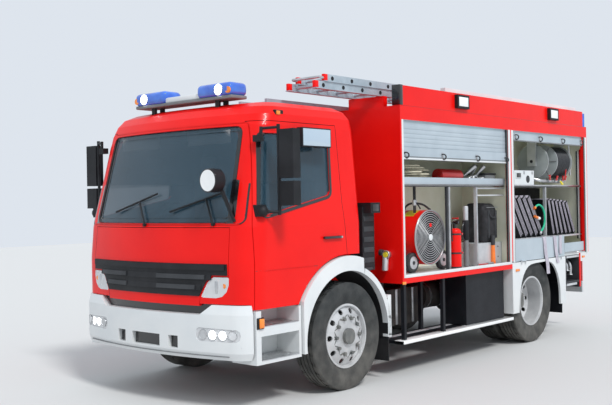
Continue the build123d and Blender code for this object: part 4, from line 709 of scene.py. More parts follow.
# X, radius and finish of each bowl in a headlamp
lamp_bowls = [(0.69, 0.038, bare_metal), (0.79, 0.04, headlamp_lit), (0.89, 0.04, headlamp_lit),
              (0.985, 0.036, lens_clear)]
for side in (1, -1):
    for number, (x, radius, surface) in enumerate(lamp_bowls):
        out = Vector((side * x / BOW if x < BUMPER_CORNER_X else side * 0.45, -1, 0)).normalized()
        place = Vector((side * x, bumper_y(x) - 0.001, 0.65))
        bar(f"headlamp_bowl_{number}_{side}", place, place + out * 0.004, radius, surface, sides=24)
        hoop(f"headlamp_rim_{number}_{side}", place + out * 0.003, out, radius + 0.002, 0.003, bare_metal, steps=28,
             sides=6)
    y = front_y(0.9, 1.07) - 0.004
    bar(f"corner_bulb_{side}", (side * 0.88, y + 0.006, 1.06), (side * 0.88, y - 0.002, 1.06), 0.02, lens_orange)
    y = front_y(0.8, 1.05)
    box(f"corner_bar_{side}", span(side, 0.79, 0.82), (y - 0.003, y + 0.01), (1.0, 1.1), bare_metal, bevel=0.003)
    for number, (x, z) in enumerate(((0.62, 0.74), (0.62, 0.57), (1.05, 0.55))):
        y = bumper_y(x)
        bar(f"bumper_screw_{side}_{number}", (side * x, y + 0.004, z), (side * x, y - 0.002, z), 0.009, bare_metal,
            sides=12)
for number, xs in enumerate(((-0.195, 0.195), (-0.415, -0.295), (0.295, 0.415))):
    bowed(f"intake_back_{number}", xs, (0.505, 0.63), -3.266, 0.006, gloss_black)
print("front lamps made")

# %% [markdown]
# The light bar has a low base with a raised blue dome at each end and a bright lamp behind the front of
# each. The domes are bevelled boxes, and the base is a plain plate on four feet.

# %% Light bar, roof markers and searchlight
bar_low, bar_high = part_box("light_bar")
bar_front, bar_back = bar_low[1], bar_high[1]
base = box("light_bar_base", (bar_low[0] + 0.01, bar_high[0] - 0.01), (bar_front + 0.02, bar_back - 0.02),
           (2.69, 2.722), grey_plastic, bevel=0.01)
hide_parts("light_bar")
box("light_bar_middle", (-0.24, 0.24), (bar_front + 0.03, bar_back - 0.03), (2.72, 2.77), white_paint, bevel=0.012)
for side in (1, -1):
    x = side * 0.52
    box(f"blue_dome_{side}", span(side, 0.22, 0.67), (bar_front + 0.005, bar_back - 0.005), (2.715, bar_high[2]),
        lens_blue, bevel=0.045, segments=4)
    bar(f"flash_lamp_{side}", (x, bar_front + 0.012, 2.775), (x, bar_front + 0.002, 2.775), 0.048, lamp_lit, sides=24)
    hoop(f"flash_rim_{side}", (x, bar_front + 0.004, 2.775), (0, 1, 0), 0.05, 0.004, bare_metal)
    x = side * 0.635
    bar(f"side_lamp_{side}", (x, bar_front + 0.02, 2.765), (x, bar_front + 0.006, 2.765), 0.03, lens_orange, sides=20)
    for y in (bar_front + 0.07, bar_back - 0.07):
        box(f"light_bar_foot_{side}_{round(y, 2)}", span(side, 0.42, 0.47), (y - 0.012, y + 0.012), (2.6, 2.695),
            chassis_paint)
boxes([
    ("roof_marker_base", (1.02, 1.062), (-0.86, -0.75), (2.512, 2.565), black_plastic, 0.008),
    ("roof_marker_lens", (1.05, 1.074), (-0.845, -0.8), (2.52, 2.557), lens_orange, 0.006),
], mirrored=True)
spot = Vector((0.84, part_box("searchlight")[0][1], 1.95))


def from_spot(x, y, z):
    """A point counted from the middle of the searchlight's front."""
    return spot + Vector((x, y, z))


SPOT_RADIUS = 0.09
bar("searchlight_lens", from_spot(0, 0.003, 0), from_spot(0, -0.003, 0), SPOT_RADIUS, lamp_white, sides=36)
hoop("searchlight_rim", from_spot(0, 0.002, 0), (0, 1, 0), SPOT_RADIUS + 0.004, 0.006, gloss_black)
bar("searchlight_back", from_spot(0, 0.1, 0), from_spot(0, 0.16, 0), 0.095, black_plastic, top_radius=0.05, sides=36)
pipe("searchlight_handle", [from_spot(0, 0.14, -0.05), from_spot(0.06, 0.15, -0.16), from_spot(0.1, 0.17, -0.3)],
     0.012, black_plastic)
print("lights on the cab made")

# %% [markdown]
# The doors carry the handles, the mirror faces, whose pale blue is partly painted sky reflection, and a thin dark red
# strip of painted shade along the crease. The steps get studded metal treads and an orange side lamp.

# %% Doors, mirrors and steps
for side, name, towards in ((1, "left", "-X"), (-1, "right", "X")):
    body = "door_" + name
    box("door_handle_" + name, span(side, 1.148, 1.176), along(-0.345, -0.085), (1.417, 1.443), gloss_black, body,
        bevel=0.009)
    box("handle_key_" + name, span(side, 1.15, 1.179), along(-0.11, -0.09), (1.421, 1.439), bare_metal, body,
        bevel=0.004)
    crease_front, crease_back = along(-1.195, -0.42)
    # Painted shade: a thin dark red strip where the door's crease lies in shade.
    crease = [(crease_front, 1.18), (crease_back, 1.18), (crease_back, 1.188), (crease_front, 1.188)]
    decal("painted_crease_shade_" + name, [crease], body, towards, 0.0, 0.0015, dark_red_paint, body)
    # The main and kerb mirror faces carry a pale blue that is partly painted sky reflection.
    for low, high in ((1.97, 2.36), (1.74, 1.925)):
        box(f"mirror_painted_sky_{name}_{low}", span(side, 1.285, 1.42), along(-0.956, -0.952), (low, high), mirror_painted_sky,
            body)
    box(f"kerb_glass_{name}", span(side, 1.222, 1.229), along(-0.68, -0.31), (2.25, 2.4), mirror_painted_sky, body,
        bevel=0.003)
    bpy.ops.mesh.primitive_uv_sphere_add(segments=20, ring_count=12, radius=0.048,
                                         location=at(side * 1.155, -1.13, 1.685))
    dress(bpy.context.object, "mirror_foot_" + name, black_plastic, body, smooth=60)
    boxes([
        (f"step_lamp_base_{name}", span(side, 1.12, 1.152), (-1.215, -1.13), (0.7, 0.795), black_plastic, 0.006),
        (f"step_lamp_{name}", span(side, 1.15, 1.165), (-1.195, -1.14), (0.708, 0.788), lens_orange, 0.006),
    ])
    for level in (0.43, 0.715):
        top = level + 0.006
        box(f"step_tread_{name}_{level}", span(side, 0.88, 1.146), along(-1.155, -0.69), (level, top), bare_metal,
            bevel=0.002)
        for row in range(3):
            for column in range(9):
                x, y = side * (0.94 + row * 0.07), -1.12 + column * 0.05
                bar(f"tread_dot_{name}_{level}_{row}_{column}", at(x, y, top), at(x, y, top + 0.004), 0.012, bare_metal,
                    sides=8, top_radius=0.008)
print("doors and steps dressed")

# %% [markdown]
# A roller shutter is a curtain of narrow slats. One slat is a box with bevelled edges, and copies of it
# one pitch apart cover the curtain. The raised shutter ends in a smooth profile with hooks on it.

# %% Shutter slats, end profiles and hooks
PITCH = 0.045
SLAT_GAP = 0.0022
FRONT_GAP = along(0.795, 2.93)
REAR_GAP = along(3.05, 4.99)
body_rear = front_axle + 5.1
slat_rows = [
    # name, X range, Y range, lowest z, count
    ("front_raised", span(1, 1.2262, 1.2315), along(0.798, 2.927), 2.292, 5),
    ("front_closed", span(-1, 1.2262, 1.2315), along(0.798, 2.927), 1.035, 33),
    ("rear_closed", span(-1, 1.2262, 1.2315), along(3.053, 4.987), 1.05, 33),
    ("back", (-0.577, 0.577), along(5.0825, 5.088), 1.145, 27),
]
for name, xs, ys, low, count in slat_rows:
    slat = box(f"slat_{name}_0", xs, ys, (low, low + PITCH - SLAT_GAP), shutter_metal, bevel=0.0016)
    for number in range(1, count):
        copy_piece(slat, f"slat_{name}_{number}", Matrix.Translation((0, 0, number * PITCH)))
boxes([
    ("raised_lip", (1.2355, 1.241), (0.805, 2.92), (2.19, 2.197), grey_plastic, 0.0),
    ("raised_foot", (1.2355, 1.243), (0.805, 2.92), (2.166, 2.184), white_paint, 0.003),
    ("parked_lip", (1.2355, 1.242), (3.06, 4.98), (2.441, 2.452), grey_plastic, 0.002),
    ("back_bar", (-0.56, 0.56), (5.086, 5.106), (1.105, 1.14), bare_metal, 0.006),
])
for number, (y0, y1) in enumerate((FRONT_GAP, REAR_GAP)):
    box(f"closed_bar_{number}", (-1.247, -1.2285), (y0 + 0.02, y1 - 0.02), (1.0, 1.03), bare_metal, bevel=0.006)
    y0, y1 = y0 + 0.5, y1 - 0.5
    pipe(f"closed_handle_{number}", [(-1.24, y0, 1.05), (-1.262, y0, 1.07), (-1.262, y1, 1.07), (-1.24, y1, 1.05)],
         0.008, bare_metal, sharp=True)
hook = pipe("shutter_hook", [(1.237, -0.03, 0.04), (1.262, -0.02, 0.045), (1.272, 0.012, 0.03), (1.268, 0.03, 0.0),
                             (1.254, 0.016, -0.028), (1.24, -0.012, -0.02)], 0.009, charcoal)
to_wall = Matrix.Translation((1.237, 0, 0))
hook.data.transform(to_wall @ Matrix.Diagonal((0.85, 0.72, 0.72, 1)) @ to_wall.inverted())
# Y from the front axle and Z of each hook
hook_places = [(y, 2.2) for y in (0.85, 1.536, 2.233, 2.885)] + [(y, 2.478) for y in (3.14, 3.758, 4.387, 4.945)]
for number, (y, z) in enumerate(hook_places):
    copy_piece(hook, f"shutter_hook_{number}", Matrix.Translation(at(0, y, z)))
    box(f"hook_plate_{number}", (1.2355, 1.24), along(y - 0.022, y + 0.018), (z - 0.03, z + 0.05), bare_metal,
        bevel=0.0015)
bpy.data.objects.remove(hook)

# %% [markdown]
# Light guides frame each opening and run between them, a white edge finishes the locker floor, and a thin
# red return closes the rear end of the rear locker. The outer strips go on both sides, and the inner ones
# into the open lockers.

# %% Guides, edges and markers on the body's sides
outside_rows = [
    # name, X range, Y range from the front axle, Z range, finish, bevel
    ("guide_front_a", (1.2485, 1.2545), (0.772, 0.8), (0.985, 2.56), white_paint, 0.002),
    ("guide_front_b", (1.2485, 1.2545), (2.93, 2.978), (0.985, 2.56), white_paint, 0.002),
    ("guide_front_seal", (1.232, 1.249), (2.893, 2.928), (0.99, 2.56), gloss_black, 0.002),
    ("guide_rear_a", (1.2485, 1.2545), (3.004, 3.05), (1.0, 2.56), white_paint, 0.002),
    ("guide_rear_seal", (1.232, 1.249), (3.052, 3.066), (1.0, 2.56), charcoal, 0.002),
    ("guide_rear_b", (1.2485, 1.2545), (4.992, 5.034), (1.02, 2.56), gloss_black, 0.002),
    ("guide_rear_c", (1.2485, 1.2555), (5.036, 5.078), (1.0, 2.56), white_paint, 0.002),
    ("sill_front", (1.2325, 1.2535), (0.798, 2.93), (0.984, 1.016), white_paint, 0.002),
    ("roof_seam", (1.2495, 1.2512), (0.76, 5.09), (2.698, 2.702), dark_red_paint, 0.0006),
    ("marker_front", (1.2495, 1.26), (0.74, 0.795), (0.922, 0.95), lens_orange, 0.002),
    ("marker_rear", (1.2495, 1.26), (3.06, 3.15), (0.892, 0.92), lens_orange, 0.002),
    ("marker_back", (1.2495, 1.26), (4.89, 4.97), (0.95, 0.978), lens_orange, 0.002),
    ("parapet_cap", (1.158, 1.2545), (0.744, 0.8), (2.704, 2.904), gloss_black, 0.002),
]
inside_rows = [
    ("return_rear", (1.166, 1.2085), (5.045, 5.0595), (1.08, 2.4), red_paint, 0.0015),
    ("tray_front", (1.184, 1.191), (0.8, 2.93), (1.921, 1.99), shutter_metal, 0.0015),
    ("tray_line", (1.176, 1.1895), (0.8, 2.93), (1.893, 1.904), gloss_black, 0.0015),
    ("tray_seal", (1.176, 1.188), (0.8, 2.93), (1.906, 1.919), grey_plastic, 0.0015),
    ("shelf_line", (1.1855, 1.191), (3.055, 4.985), (1.896, 1.905), gloss_black, 0.0015),
    ("shelf_front", (1.1855, 1.192), (3.055, 4.985), (1.906, 1.92), bare_metal, 0.0015),
    ("cassette_front", (1.1855, 1.191), (3.055, 4.985), (1.25, 1.268), shelf_metal, 0.0015),
    ("post_silver_a", (1.18, 1.186), (1.724, 1.75), (1.002, 1.9), bare_metal, 0.0015),
    ("post_dark_a", (1.155, 1.182), (1.69, 1.72), (1.002, 1.9), charcoal, 0.0015),
    ("post_silver_b", (1.18, 1.186), (2.298, 2.323), (1.002, 1.9), bare_metal, 0.0015),
    ("post_silver_c", (1.18, 1.186), (3.992, 4.018), (1.28, 1.893), bare_metal, 0.0015),
    ("rear_post_dark", (1.126, 1.145), (5.03, 5.058), (1.2, 2.38), charcoal, 0.0015),
    ("rear_post_light", (1.146, 1.164), (5.03, 5.058), (1.2, 2.38), lamp_white, 0.0015),
]
boxes(outside_rows, mirrored=True)
boxes(inside_rows)
print("strips:", 2 * len(outside_rows) + len(inside_rows))

# %% [markdown]
# The roof carries the ladders. Their rails end in red caps, the rungs show as dark plugs on the rail's
# side, and red blocks hold the upper section on the lower one. The scene lamps are white panes in
# black frames.

# %% Roof gear
repaint("scene_lamps", lens_blue, lambda face: abs(face.center.x) < 1.2495)
repaint("ladders", white_paint, lambda face: face.center.x > 1.05)
boxes([(f"scene_pane_{number}", (1.2885, 1.2935), (y + 0.028, y + 0.212), (2.758, 2.857), lamp_white, 0.002)
       for number, y in enumerate((1.77, 3.95))], mirrored=True)
RUNG_PITCH = 0.3
ladder_rows = [
    # name, front y, rear y, low z, high z
    ("lower", -0.2, 4.8, 2.815, 2.889),
    ("upper", -0.065, 4.9, 2.8893, 2.961),
]
plug = bar("rung_plug", (0.9635, 0, 0), (0.9665, 0, 0), 0.02, black_plastic, sides=14)
for name, y0, y1, z0, z1 in ladder_rows:
    for x in (0.62, 0.95):
        for end, ys in enumerate(((y0 - 0.004, y0 + 0.05), (y1 - 0.05, y1 + 0.004))):
            box(f"rail_cap_{name}_{x}_{end}", (x - 0.0155, x + 0.0155), along(*ys), (z0 + 0.009, z1), red_paint,
                bevel=0.003)
    for number in range(int((y1 - y0 - 0.1) / RUNG_PITCH)):
        place = at(0, y0 + 0.12 + RUNG_PITCH * number, (z0 + z1) / 2)
        copy_piece(plug, f"rung_plug_{name}_{number}", Matrix.Translation(place))
bpy.data.objects.remove(plug)
wedges = [(0.25 + number * 0.8, 0.41 + number * 0.8) for number in range(6)]
boxes([(f"ladder_wedge_{number}", (0.604, 0.636), ys, (2.872, 2.9), red_paint, 0.003) for number,
       ys in enumerate(wedges)])
pipe("ladder_tip", [at(0.62, -0.06, 2.925), at(0.62, -0.12, 2.928), at(0.95, -0.12, 2.928), at(0.95, -0.06, 2.925)],
     0.014, bare_metal, sharp=True)
print("roof gear dressed")

# %% [markdown]
# A band is a small rectangle spun about any axis. It makes straps round a cylinder, rings and curved
# labels without lettering.

# %% Band tool
def band(name, centre, axis, width, radius, thick, turn, surface, body="chassis", steps=36):
    """A rectangle spun about an axis, from the first to the second angle of turn in degrees."""
    bpy.ops.mesh.primitive_plane_add(size=1, rotation=(math.radians(90), 0, 0))
    piece = bpy.context.object
    piece.scale = (thick, width, 1)
    piece.location = (radius + thick / 2, 0, 0)
    settle()
    piece.data.transform(Matrix.Rotation(math.radians(turn[0]), 4, "Z"))
    edit()
    bpy.ops.mesh.spin(steps=steps, angle=-math.radians(turn[1] - turn[0]), center=(0, 0, 0), axis=(0, 0, 1))
    leave()
    piece.data.transform(Matrix.Translation(centre) @ turned(axis).to_matrix().to_4x4())
    return dress(piece, name, surface, body, smooth=40)


print("band tool ready")

# %% [markdown]
# The fan gets a wire guard of rings and spokes in front of its blades, rubber tyres on its two wheels
# and a yellow patch. The blades are flat plates turned about their own length.

# %% Fan
fan_centre = Vector(at(1.10, 1.475, 1.36))
fan_wheels = along(1.213, 1.79)
FAN_WHEEL_Z = 1.104


def from_fan(x, y=0.0, z=0.0):
    """A point counted from the middle of the fan."""
    return fan_centre + Vector((x, y, z))


def fan_dark(face):
    """The fan's wheels and the inside of its drum."""
    on_wheel = face.center.x > 1.01 and any(from_axle(face, y, FAN_WHEEL_Z) < 0.106 for y in fan_wheels)
    return on_wheel or from_axle(face, fan_centre.y, fan_centre.z) < 0.279


repaint("fan", charcoal, fan_dark)
for number in range(10):
    hoop(f"guard_ring_{number}", from_fan(0.006), (1, 0, 0), 0.055 + number * 0.0235, 0.0033, rim_paint, steps=40,
         sides=5)
hoop("guard_rim", from_fan(0.004), (1, 0, 0), 0.286, 0.008, bare_metal, steps=56, sides=8)
for number in range(4):
    turn = math.radians(number * 90 + 45)
    out = Vector((0, math.cos(turn), math.sin(turn)))
    bar(f"guard_spoke_{number}", fan_centre + out * 0.03, fan_centre + out * 0.284, 0.0028, bare_metal, sides=6)
bar("guard_hub", from_fan(0.002), from_fan(0.014), 0.036, white_paint, sides=28, bevel=0.004)
bar("guard_badge", from_fan(0.008, 0, 0.13), from_fan(0.011, 0, 0.13), 0.022, red_paint, sides=20)
for number in range(7):
    turn = Matrix.Rotation(math.radians(number * 360 / 7), 4, "X")
    pitch = Matrix.Rotation(math.radians(28), 4, "Z")
    blade = box(f"fan_blade_{number}", (-0.002, 0.002), (-0.055, 0.055), (0.06, 0.262), charcoal, bevel=0.001)
    blade.data.transform(Matrix.Translation(from_fan(-0.06)) @ turn @ pitch)
band("fan_patch", from_fan(-0.15), (1, 0, 0), 0.13, 0.289, 0.0012, (100, 128), yellow_paint, steps=8)
band("fan_rim_band", from_fan(-0.012), (1, 0, 0), 0.02, 0.2885, 0.002, (0, 360), red_paint, steps=56)
for number, y in enumerate(fan_wheels):
    z = FAN_WHEEL_Z + 0.0003
    hoop(f"fan_tyre_{number}", (1.05, y, z), (1, 0, 0), 0.084, 0.0195, tyre_rubber, steps=36, sides=10)
    bar(f"fan_wheel_disc_{number}", (1.059, y, z), (1.067, y, z), 0.066, rim_paint, sides=32, bevel=0.003)
    hoop(f"fan_wheel_rim_{number}", (1.064, y, z), (1, 0, 0), 0.066, 0.004, bare_metal, steps=36, sides=6)
    bar(f"fan_wheel_cap_{number}", (1.066, y, z), (1.074, y, z), 0.02, charcoal, sides=20, bevel=0.003)
pipe("fan_handle", [at(0.86, 1.335, 1.6), at(0.88, 1.375, 1.7), at(1.0, 1.455, 1.715), at(1.06, 1.555, 1.65)],
     0.011, charcoal)
boxes([
    ("fan_strap", (1.02, 1.032), (1.285, 1.325), (1.62, 1.9), black_cloth, 0.002),
    ("fan_strap_buckle", (1.014, 1.038), (1.275, 1.335), (1.7, 1.76), bare_metal, 0.004),
])
pipe("fan_strap_tail", [at(1.03, 1.305, 1.74), at(1.04, 1.355, 1.7), at(1.03, 1.405, 1.665)], 0.007, black_cloth)
print("fan dressed")

# %% [markdown]
# The extinguisher stands in two straps on the wall, with its lever, pin ring and short hose at the top.
# Hand tools lean beside it: a grey tool with a black grip, an orange marker and a red tool on the floor.

# %% Extinguisher and hand tools
EXT_X, EXT_Y = 1.112, 1.95
repaint("fire_extinguisher", gloss_black, lambda face: face.center.z > 1.442)
ext_rows = [
    # name, z, width, thickness, turn, finish, steps
    ("ext_strap_1.17", 1.17, 0.018, 0.003, (0, 360), gloss_black, 36),
    ("ext_strap_1.377", 1.377, 0.018, 0.003, (0, 360), gloss_black, 36),
    ("ext_foot", 1.012, 0.018, 0.002, (0, 360), charcoal, 36),
    ("ext_label", 1.28, 0.09, 0.0006, (-75, 5), dark_red_paint, 12),
]
EXT_RADIUS = 0.0685
for name, z, width, thick, turn, surface, steps in ext_rows:
    band(name, at(EXT_X, EXT_Y, z), (0, 0, 1), width, EXT_RADIUS, thick, turn, surface, steps=steps)
boxes([
    ("ext_clip_1.17", (1.132, 1.172), (2.0, 2.025), (1.158, 1.182), lens_red, 0.004),
    ("ext_clip_1.377", (1.132, 1.172), (2.0, 2.025), (1.365, 1.389), lens_red, 0.004),
    ("ext_lever", (1.092, 1.172), (1.92, 1.94), (1.54, 1.558), lens_red, 0.004),
    ("ext_grip", (1.092, 1.172), (1.92, 1.94), (1.498, 1.512), gloss_black, 0.004),
    ("floor_tool", (1.12, 1.16), (2.36, 2.6), (1.002, 1.02), lens_red, 0.006),
    ("floor_tool_jaw", (1.11, 1.17), (2.58, 2.7), (1.002, 1.03), bare_metal, 0.008),
    ("floor_mat", (0.72, 1.19), (2.36, 2.92), (1.0005, 1.004), charcoal, 0.001),
])
hoop("ext_pin", at(EXT_X + 0.02, EXT_Y - 0.035, 1.53), (0.2, 1, 0), 0.014, 0.002, bare_metal, steps=20, sides=6)
pipe("ext_hose", [at(EXT_X + x, EXT_Y + y, z) for x, y, z in
                  ((0, -0.02, 1.49), (0.01, -0.075, 1.5), (0.015, -0.086, 1.42), (0.015, -0.08, 1.3))], 0.008,
     gloss_black)
tool_rows = [
    # name, x, y, low z, high z, radius, top radius, finish, bevel
    ("grey_tool", 1.1, 2.2, 1.003, 1.3, 0.03, None, grey_plastic, 0.006),
    ("grey_tool_grip", 1.1, 2.2, 1.3, 1.52, 0.037, None, black_plastic, 0.006),
    ("grey_tool_head", 1.1, 2.2, 1.52, 1.68, 0.03, None, shelf_metal, 0.006),
    ("orange_marker", 1.145, 2.72, 1.003, 1.22, 0.03, 0.022, orange_plastic, 0.0),
    ("orange_marker_head", 1.145, 2.72, 1.22, 1.33, 0.026, None, charcoal, 0.005),
]
for name, x, y, low, high, radius, top, surface, bevel in tool_rows:
    bar(name, at(x, y, low), at(x, y, high), radius, surface, sides=20, top_radius=top, bevel=bevel)
pipe("grey_tool_loop", [at(1.1, 2.16, 1.5), at(1.105, 2.12, 1.44), at(1.105, 2.12, 1.34), at(1.1, 2.165, 1.3)],
     0.009, gloss_black)
for number, z in enumerate((1.08, 1.2)):
    bar(f"step_box_screw_{number}", at(1.13, 2.86, z), at(1.134, 2.86, z), 0.008, charcoal, sides=10)
print("extinguisher and tools made")

# %% [markdown]
# The bag is one soft shell: a block that is subdivided, rounded, pushed out in its middle by its load and
# sagging at the top, then smoothed. Two flat webbing straps and a handle lie on it.

# %% Soft bag
bag_low, bag_high = Vector(at(0.8, 2.6, 1.2505)), Vector(at(1.125, 2.915, 1.71))
bag_middle = (bag_low + bag_high) / 2
bag_half = (bag_high - bag_low) / 2
bpy.ops.mesh.primitive_cube_add(size=2)
bag = bpy.context.object
edit()
bpy.ops.mesh.subdivide(number_cuts=7)
leave()
for vertex in bag.data.vertices:
    x, y, z = vertex.co
    rounding = 1 - 0.1 * (abs(x * y) ** 6 + abs(y * z) ** 6 + abs(x * z) ** 6)
    bulge = 0.93 + 0.05 * (1 - z * z) + 0.012 * math.sin(7 * y + 2 * z)
    slump = 0.1 * max(z, 0) ** 2 * max(y, 0) ** 2 + 0.03 * max(z, 0) * math.cos(3 * y)
    vertex.co = (bag_middle.x + bag_half.x * x * bulge * rounding,
                 bag_middle.y + bag_half.y * y * (0.95 if z > 0.6 else 0.97) * rounding,
                 bag_middle.z + bag_half.z * ((z - slump) * rounding if z > -0.9 else -1))
modify(bag, "SUBSURF", levels=1, render_levels=1)
dress(bag, "gear_bag_shell", black_cloth, smooth=60)
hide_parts("gear_bag")
for y in along(2.68, 2.84):
    box(f"bag_strap_{y:.2f}", (1.119, 1.124), (y - 0.02, y + 0.02), (1.3, 1.62), charcoal, bevel=0.001)
pipe("bag_handle", [at(1.118, 2.68, 1.6), at(1.13, 2.71, 1.55), at(1.13, 2.81, 1.55), at(1.118, 2.84, 1.6)], 0.011,
     charcoal)
box("bag_zip", (1.12, 1.1235), along(2.63, 2.88), (1.652, 1.66), grey_plastic, bevel=0.001)
print("bag faces:", len(bag.data.polygons))

# %% [markdown]
# On the tray lie a hank of rope, a rolled red mat and metal fittings. The rope is one line of points that
# goes round in turns, with a loose wave shared by all the turns, so it never crosses itself.

# %% Tray gear
DECK = 1.9253
ROPE = 0.016
TURNS = 8
rope_points = []
for step in range(TURNS * 30 + 1):
    angle, layer = math.radians(step * 12), step / 30
    reach_x, reach_y = 0.15 + 0.035 * math.sin(3.1 * layer), 0.23 + 0.07 * math.sin(1.9 * layer + 1)
    rope_points.append((0.985 + 0.03 * math.sin(1.7 * layer) + reach_x * math.cos(angle),
                        front_axle + 1.26 + 0.08 * math.sin(2.3 * layer) + reach_y * math.sin(angle),
                        DECK + 0.01 + 0.0225 * layer))


def path_length(points):
    return sum((Vector(b) - Vector(a)).length for a, b in zip(points, points[1:]))


rope = pipe("rope_hank", rope_points, ROPE / 2, rope_fibre, sides=1, sharp=True)
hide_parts("shelf_gear")
roll_z = DECK + 0.094
bar("mat_roll", at(1.06, 1.7, roll_z), at(1.06, 2.12, roll_z), 0.073, dark_red_paint, sides=36, bevel=0.006)
for turn in range(3):
    hoop(f"mat_spiral_{turn}", at(1.06, 1.699, roll_z), (0, 1, 0), 0.02 + turn * 0.018, 0.003, lens_red, steps=32,
         sides=6)
fitting_rows = [
    # name, y from the front axle, x, radius, length, finish
    ("coupling_a", 2.26, 1.1, 0.045, 0.1, bare_metal),
    ("coupling_b", 2.38, 1.09, 0.052, 0.09, bare_metal),
    ("coupling_c", 2.5, 1.1, 0.04, 0.12, shelf_metal),
    ("nozzle_a", 2.31, 0.97, 0.03, 0.2, charcoal),
    ("nozzle_b", 2.43, 0.98, 0.034, 0.18, bare_metal),
]
for name, y, x, radius, length, surface in fitting_rows:
    z, end = DECK + radius + 0.001, x + length / 2
    bar(name, at(x - length / 2, y, z), at(end, y, z), radius, surface, sides=24, bevel=0.006)
    hoop(name + "_lug", at(end - 0.01, y, z), (1, 0, 0), radius * 0.9, 0.007, bare_metal, steps=24, sides=8)
    bar(name + "_bore", at(end - 0.002, y, z), at(end + 0.001, y, z), radius * 0.7, gloss_black, sides=24)
for number, (y, lean) in enumerate(((2.3, 0.3), (2.46, -0.2), (2.55, 0.15))):
    start = Vector(at(1.02, y, DECK + 0.09))
    bar(f"branch_pipe_{number}", start, start + Vector((0.1, lean * 0.3, 0.12)), 0.017, bare_metal, top_radius=0.026)
boxes([
    ("mat_cradle_1.0", (0.994, 1.006), (1.74, 2.08), (DECK, DECK + 0.05), charcoal, 0.002),
    ("mat_cradle_1.12", (1.114, 1.126), (1.74, 2.08), (DECK, DECK + 0.05), charcoal, 0.002),
    ("tray_case", (0.75, 1.12), (2.62, 2.85), (DECK, DECK + 0.11), grey_plastic, 0.012),
    ("tray_case_lid", (0.76, 1.125), (2.61, 2.86), (DECK + 0.111, DECK + 0.13), charcoal, 0.006),
])
print("rope length:", round(path_length(rope_points), 2))

# %% [markdown]
# The reel is wound with rings of rubber hose side by side, between pale flanges that turn with it. A
# light tube frame stands behind it, with red valve handles below.

# %% Hose reel and its valves
REEL_X, REEL_Z = 0.98, 2.225


def reel(y):
    """A point on the reel's axle."""
    return Vector(at(REEL_X, y, REEL_Z))


REEL_TURNS = 19
REEL_PITCH = 0.0213
wind = hoop("reel_turn", (REEL_X, 0, REEL_Z), (0, 1, 0), 0.192, 0.0102, hose_rubber, "hose_reel", steps=40, sides=8)
for number in range(REEL_TURNS):
    copy_piece(wind, f"reel_turn_{number}", Matrix.Translation(at(0, 4.349 + number * REEL_PITCH, 0)))
bpy.data.objects.remove(wind)
for number, y in enumerate((4.07, 4.33, 4.75)):
    bar(f"reel_flange_{number}", reel(y - 0.0065), reel(y + 0.0065), 0.2165, reel_plastic, "hose_reel", sides=56,
        bevel=0.002)
    hoop(f"reel_flange_rim_{number}", reel(y), (0, 1, 0), 0.2165, 0.006, bare_metal, "hose_reel", steps=56, sides=6)
    for side in (-1, 1):
        bar(f"reel_hub_{number}_{side}", reel(y + side * 0.006), reel(y + side * 0.02), 0.05, grey_plastic, "hose_reel",
            sides=28)
for number in range(6):
    turn = math.radians(number * 60)
    out = Vector((math.cos(turn), 0, math.sin(turn)))
    hub = reel(4.322)
    bar(f"reel_rib_{number}", hub + out * 0.045, hub + out * 0.205, 0.006, grey_plastic, "hose_reel", sides=8)
pipe("reel_frame", [at(0.74, 4.4, 2.02), at(0.74, 4.4, 2.47), at(1.13, 4.43, 2.475), at(1.13, 4.8, 2.475),
                    at(1.13, 4.84, 2.05)], 0.012, bare_metal, sharp=True)
pipe("reel_feed", [at(1.0, 4.05, 2.0), at(1.06, 4.1, 1.98), at(1.08, 4.2, 1.975), at(1.08, 4.7, 1.975)], 0.022,
     bare_metal)
valve_rows = [
    # y from the front axle, z, lean, rise, finish
    (4.24, 1.985, -0.4, 0.06, lens_red),
    (4.42, 1.98, 0.2, 0.06, lens_red),
    (4.54, 1.97, 0.5, -0.045, yellow_paint),
    (4.62, 1.98, -0.2, 0.06, lens_red),
    (4.68, 1.985, 0.1, 0.06, lens_red),
]
for number, (y, z, lean, rise, surface) in enumerate(valve_rows):
    place = Vector(at(1.13, y, z))
    bar(f"valve_body_{number}", place - Vector((0.05, 0, 0)), place, 0.024, bare_metal, sides=20)
    bar(f"valve_handle_{number}", place, place + Vector((0.012, 0.075 * lean, rise)), 0.011, surface, sides=12,
        top_radius=0.016)
bar("valve_lever", at(1.14, 4.66, 2.0), at(1.15, 4.67, 2.13), 0.008, lens_red, sides=10)
bar("power_fan", at(1.169, 3.56, 1.99), at(1.173, 3.56, 1.99), 0.045, charcoal, sides=28)
boxes([
    ("power_window", (1.1775, 1.181), (3.262, 3.37), (2.008, 2.062), gloss_black, 0.002),
    ("power_lid", (0.765, 1.1715), (3.205, 3.715), (2.094, 2.1), grey_plastic, 0.002),
    ("power_latch_3.45", (1.1695, 1.178), (3.45, 3.48), (2.05, 2.085), bare_metal, 0.003),
    ("power_latch_3.66", (1.1695, 1.178), (3.66, 3.69), (2.05, 2.085), bare_metal, 0.003),
    ("reel_motor", (0.9, 1.05), (3.8, 3.98), (1.93, 2.05), charcoal, 0.015),
])
print("reel dressed")

# %% [markdown]
# Each cassette holds a folded flat hose, so its open end shows pale folds between black plates. One fold
# is a thin bevelled box, laid along the cassette's own slope.

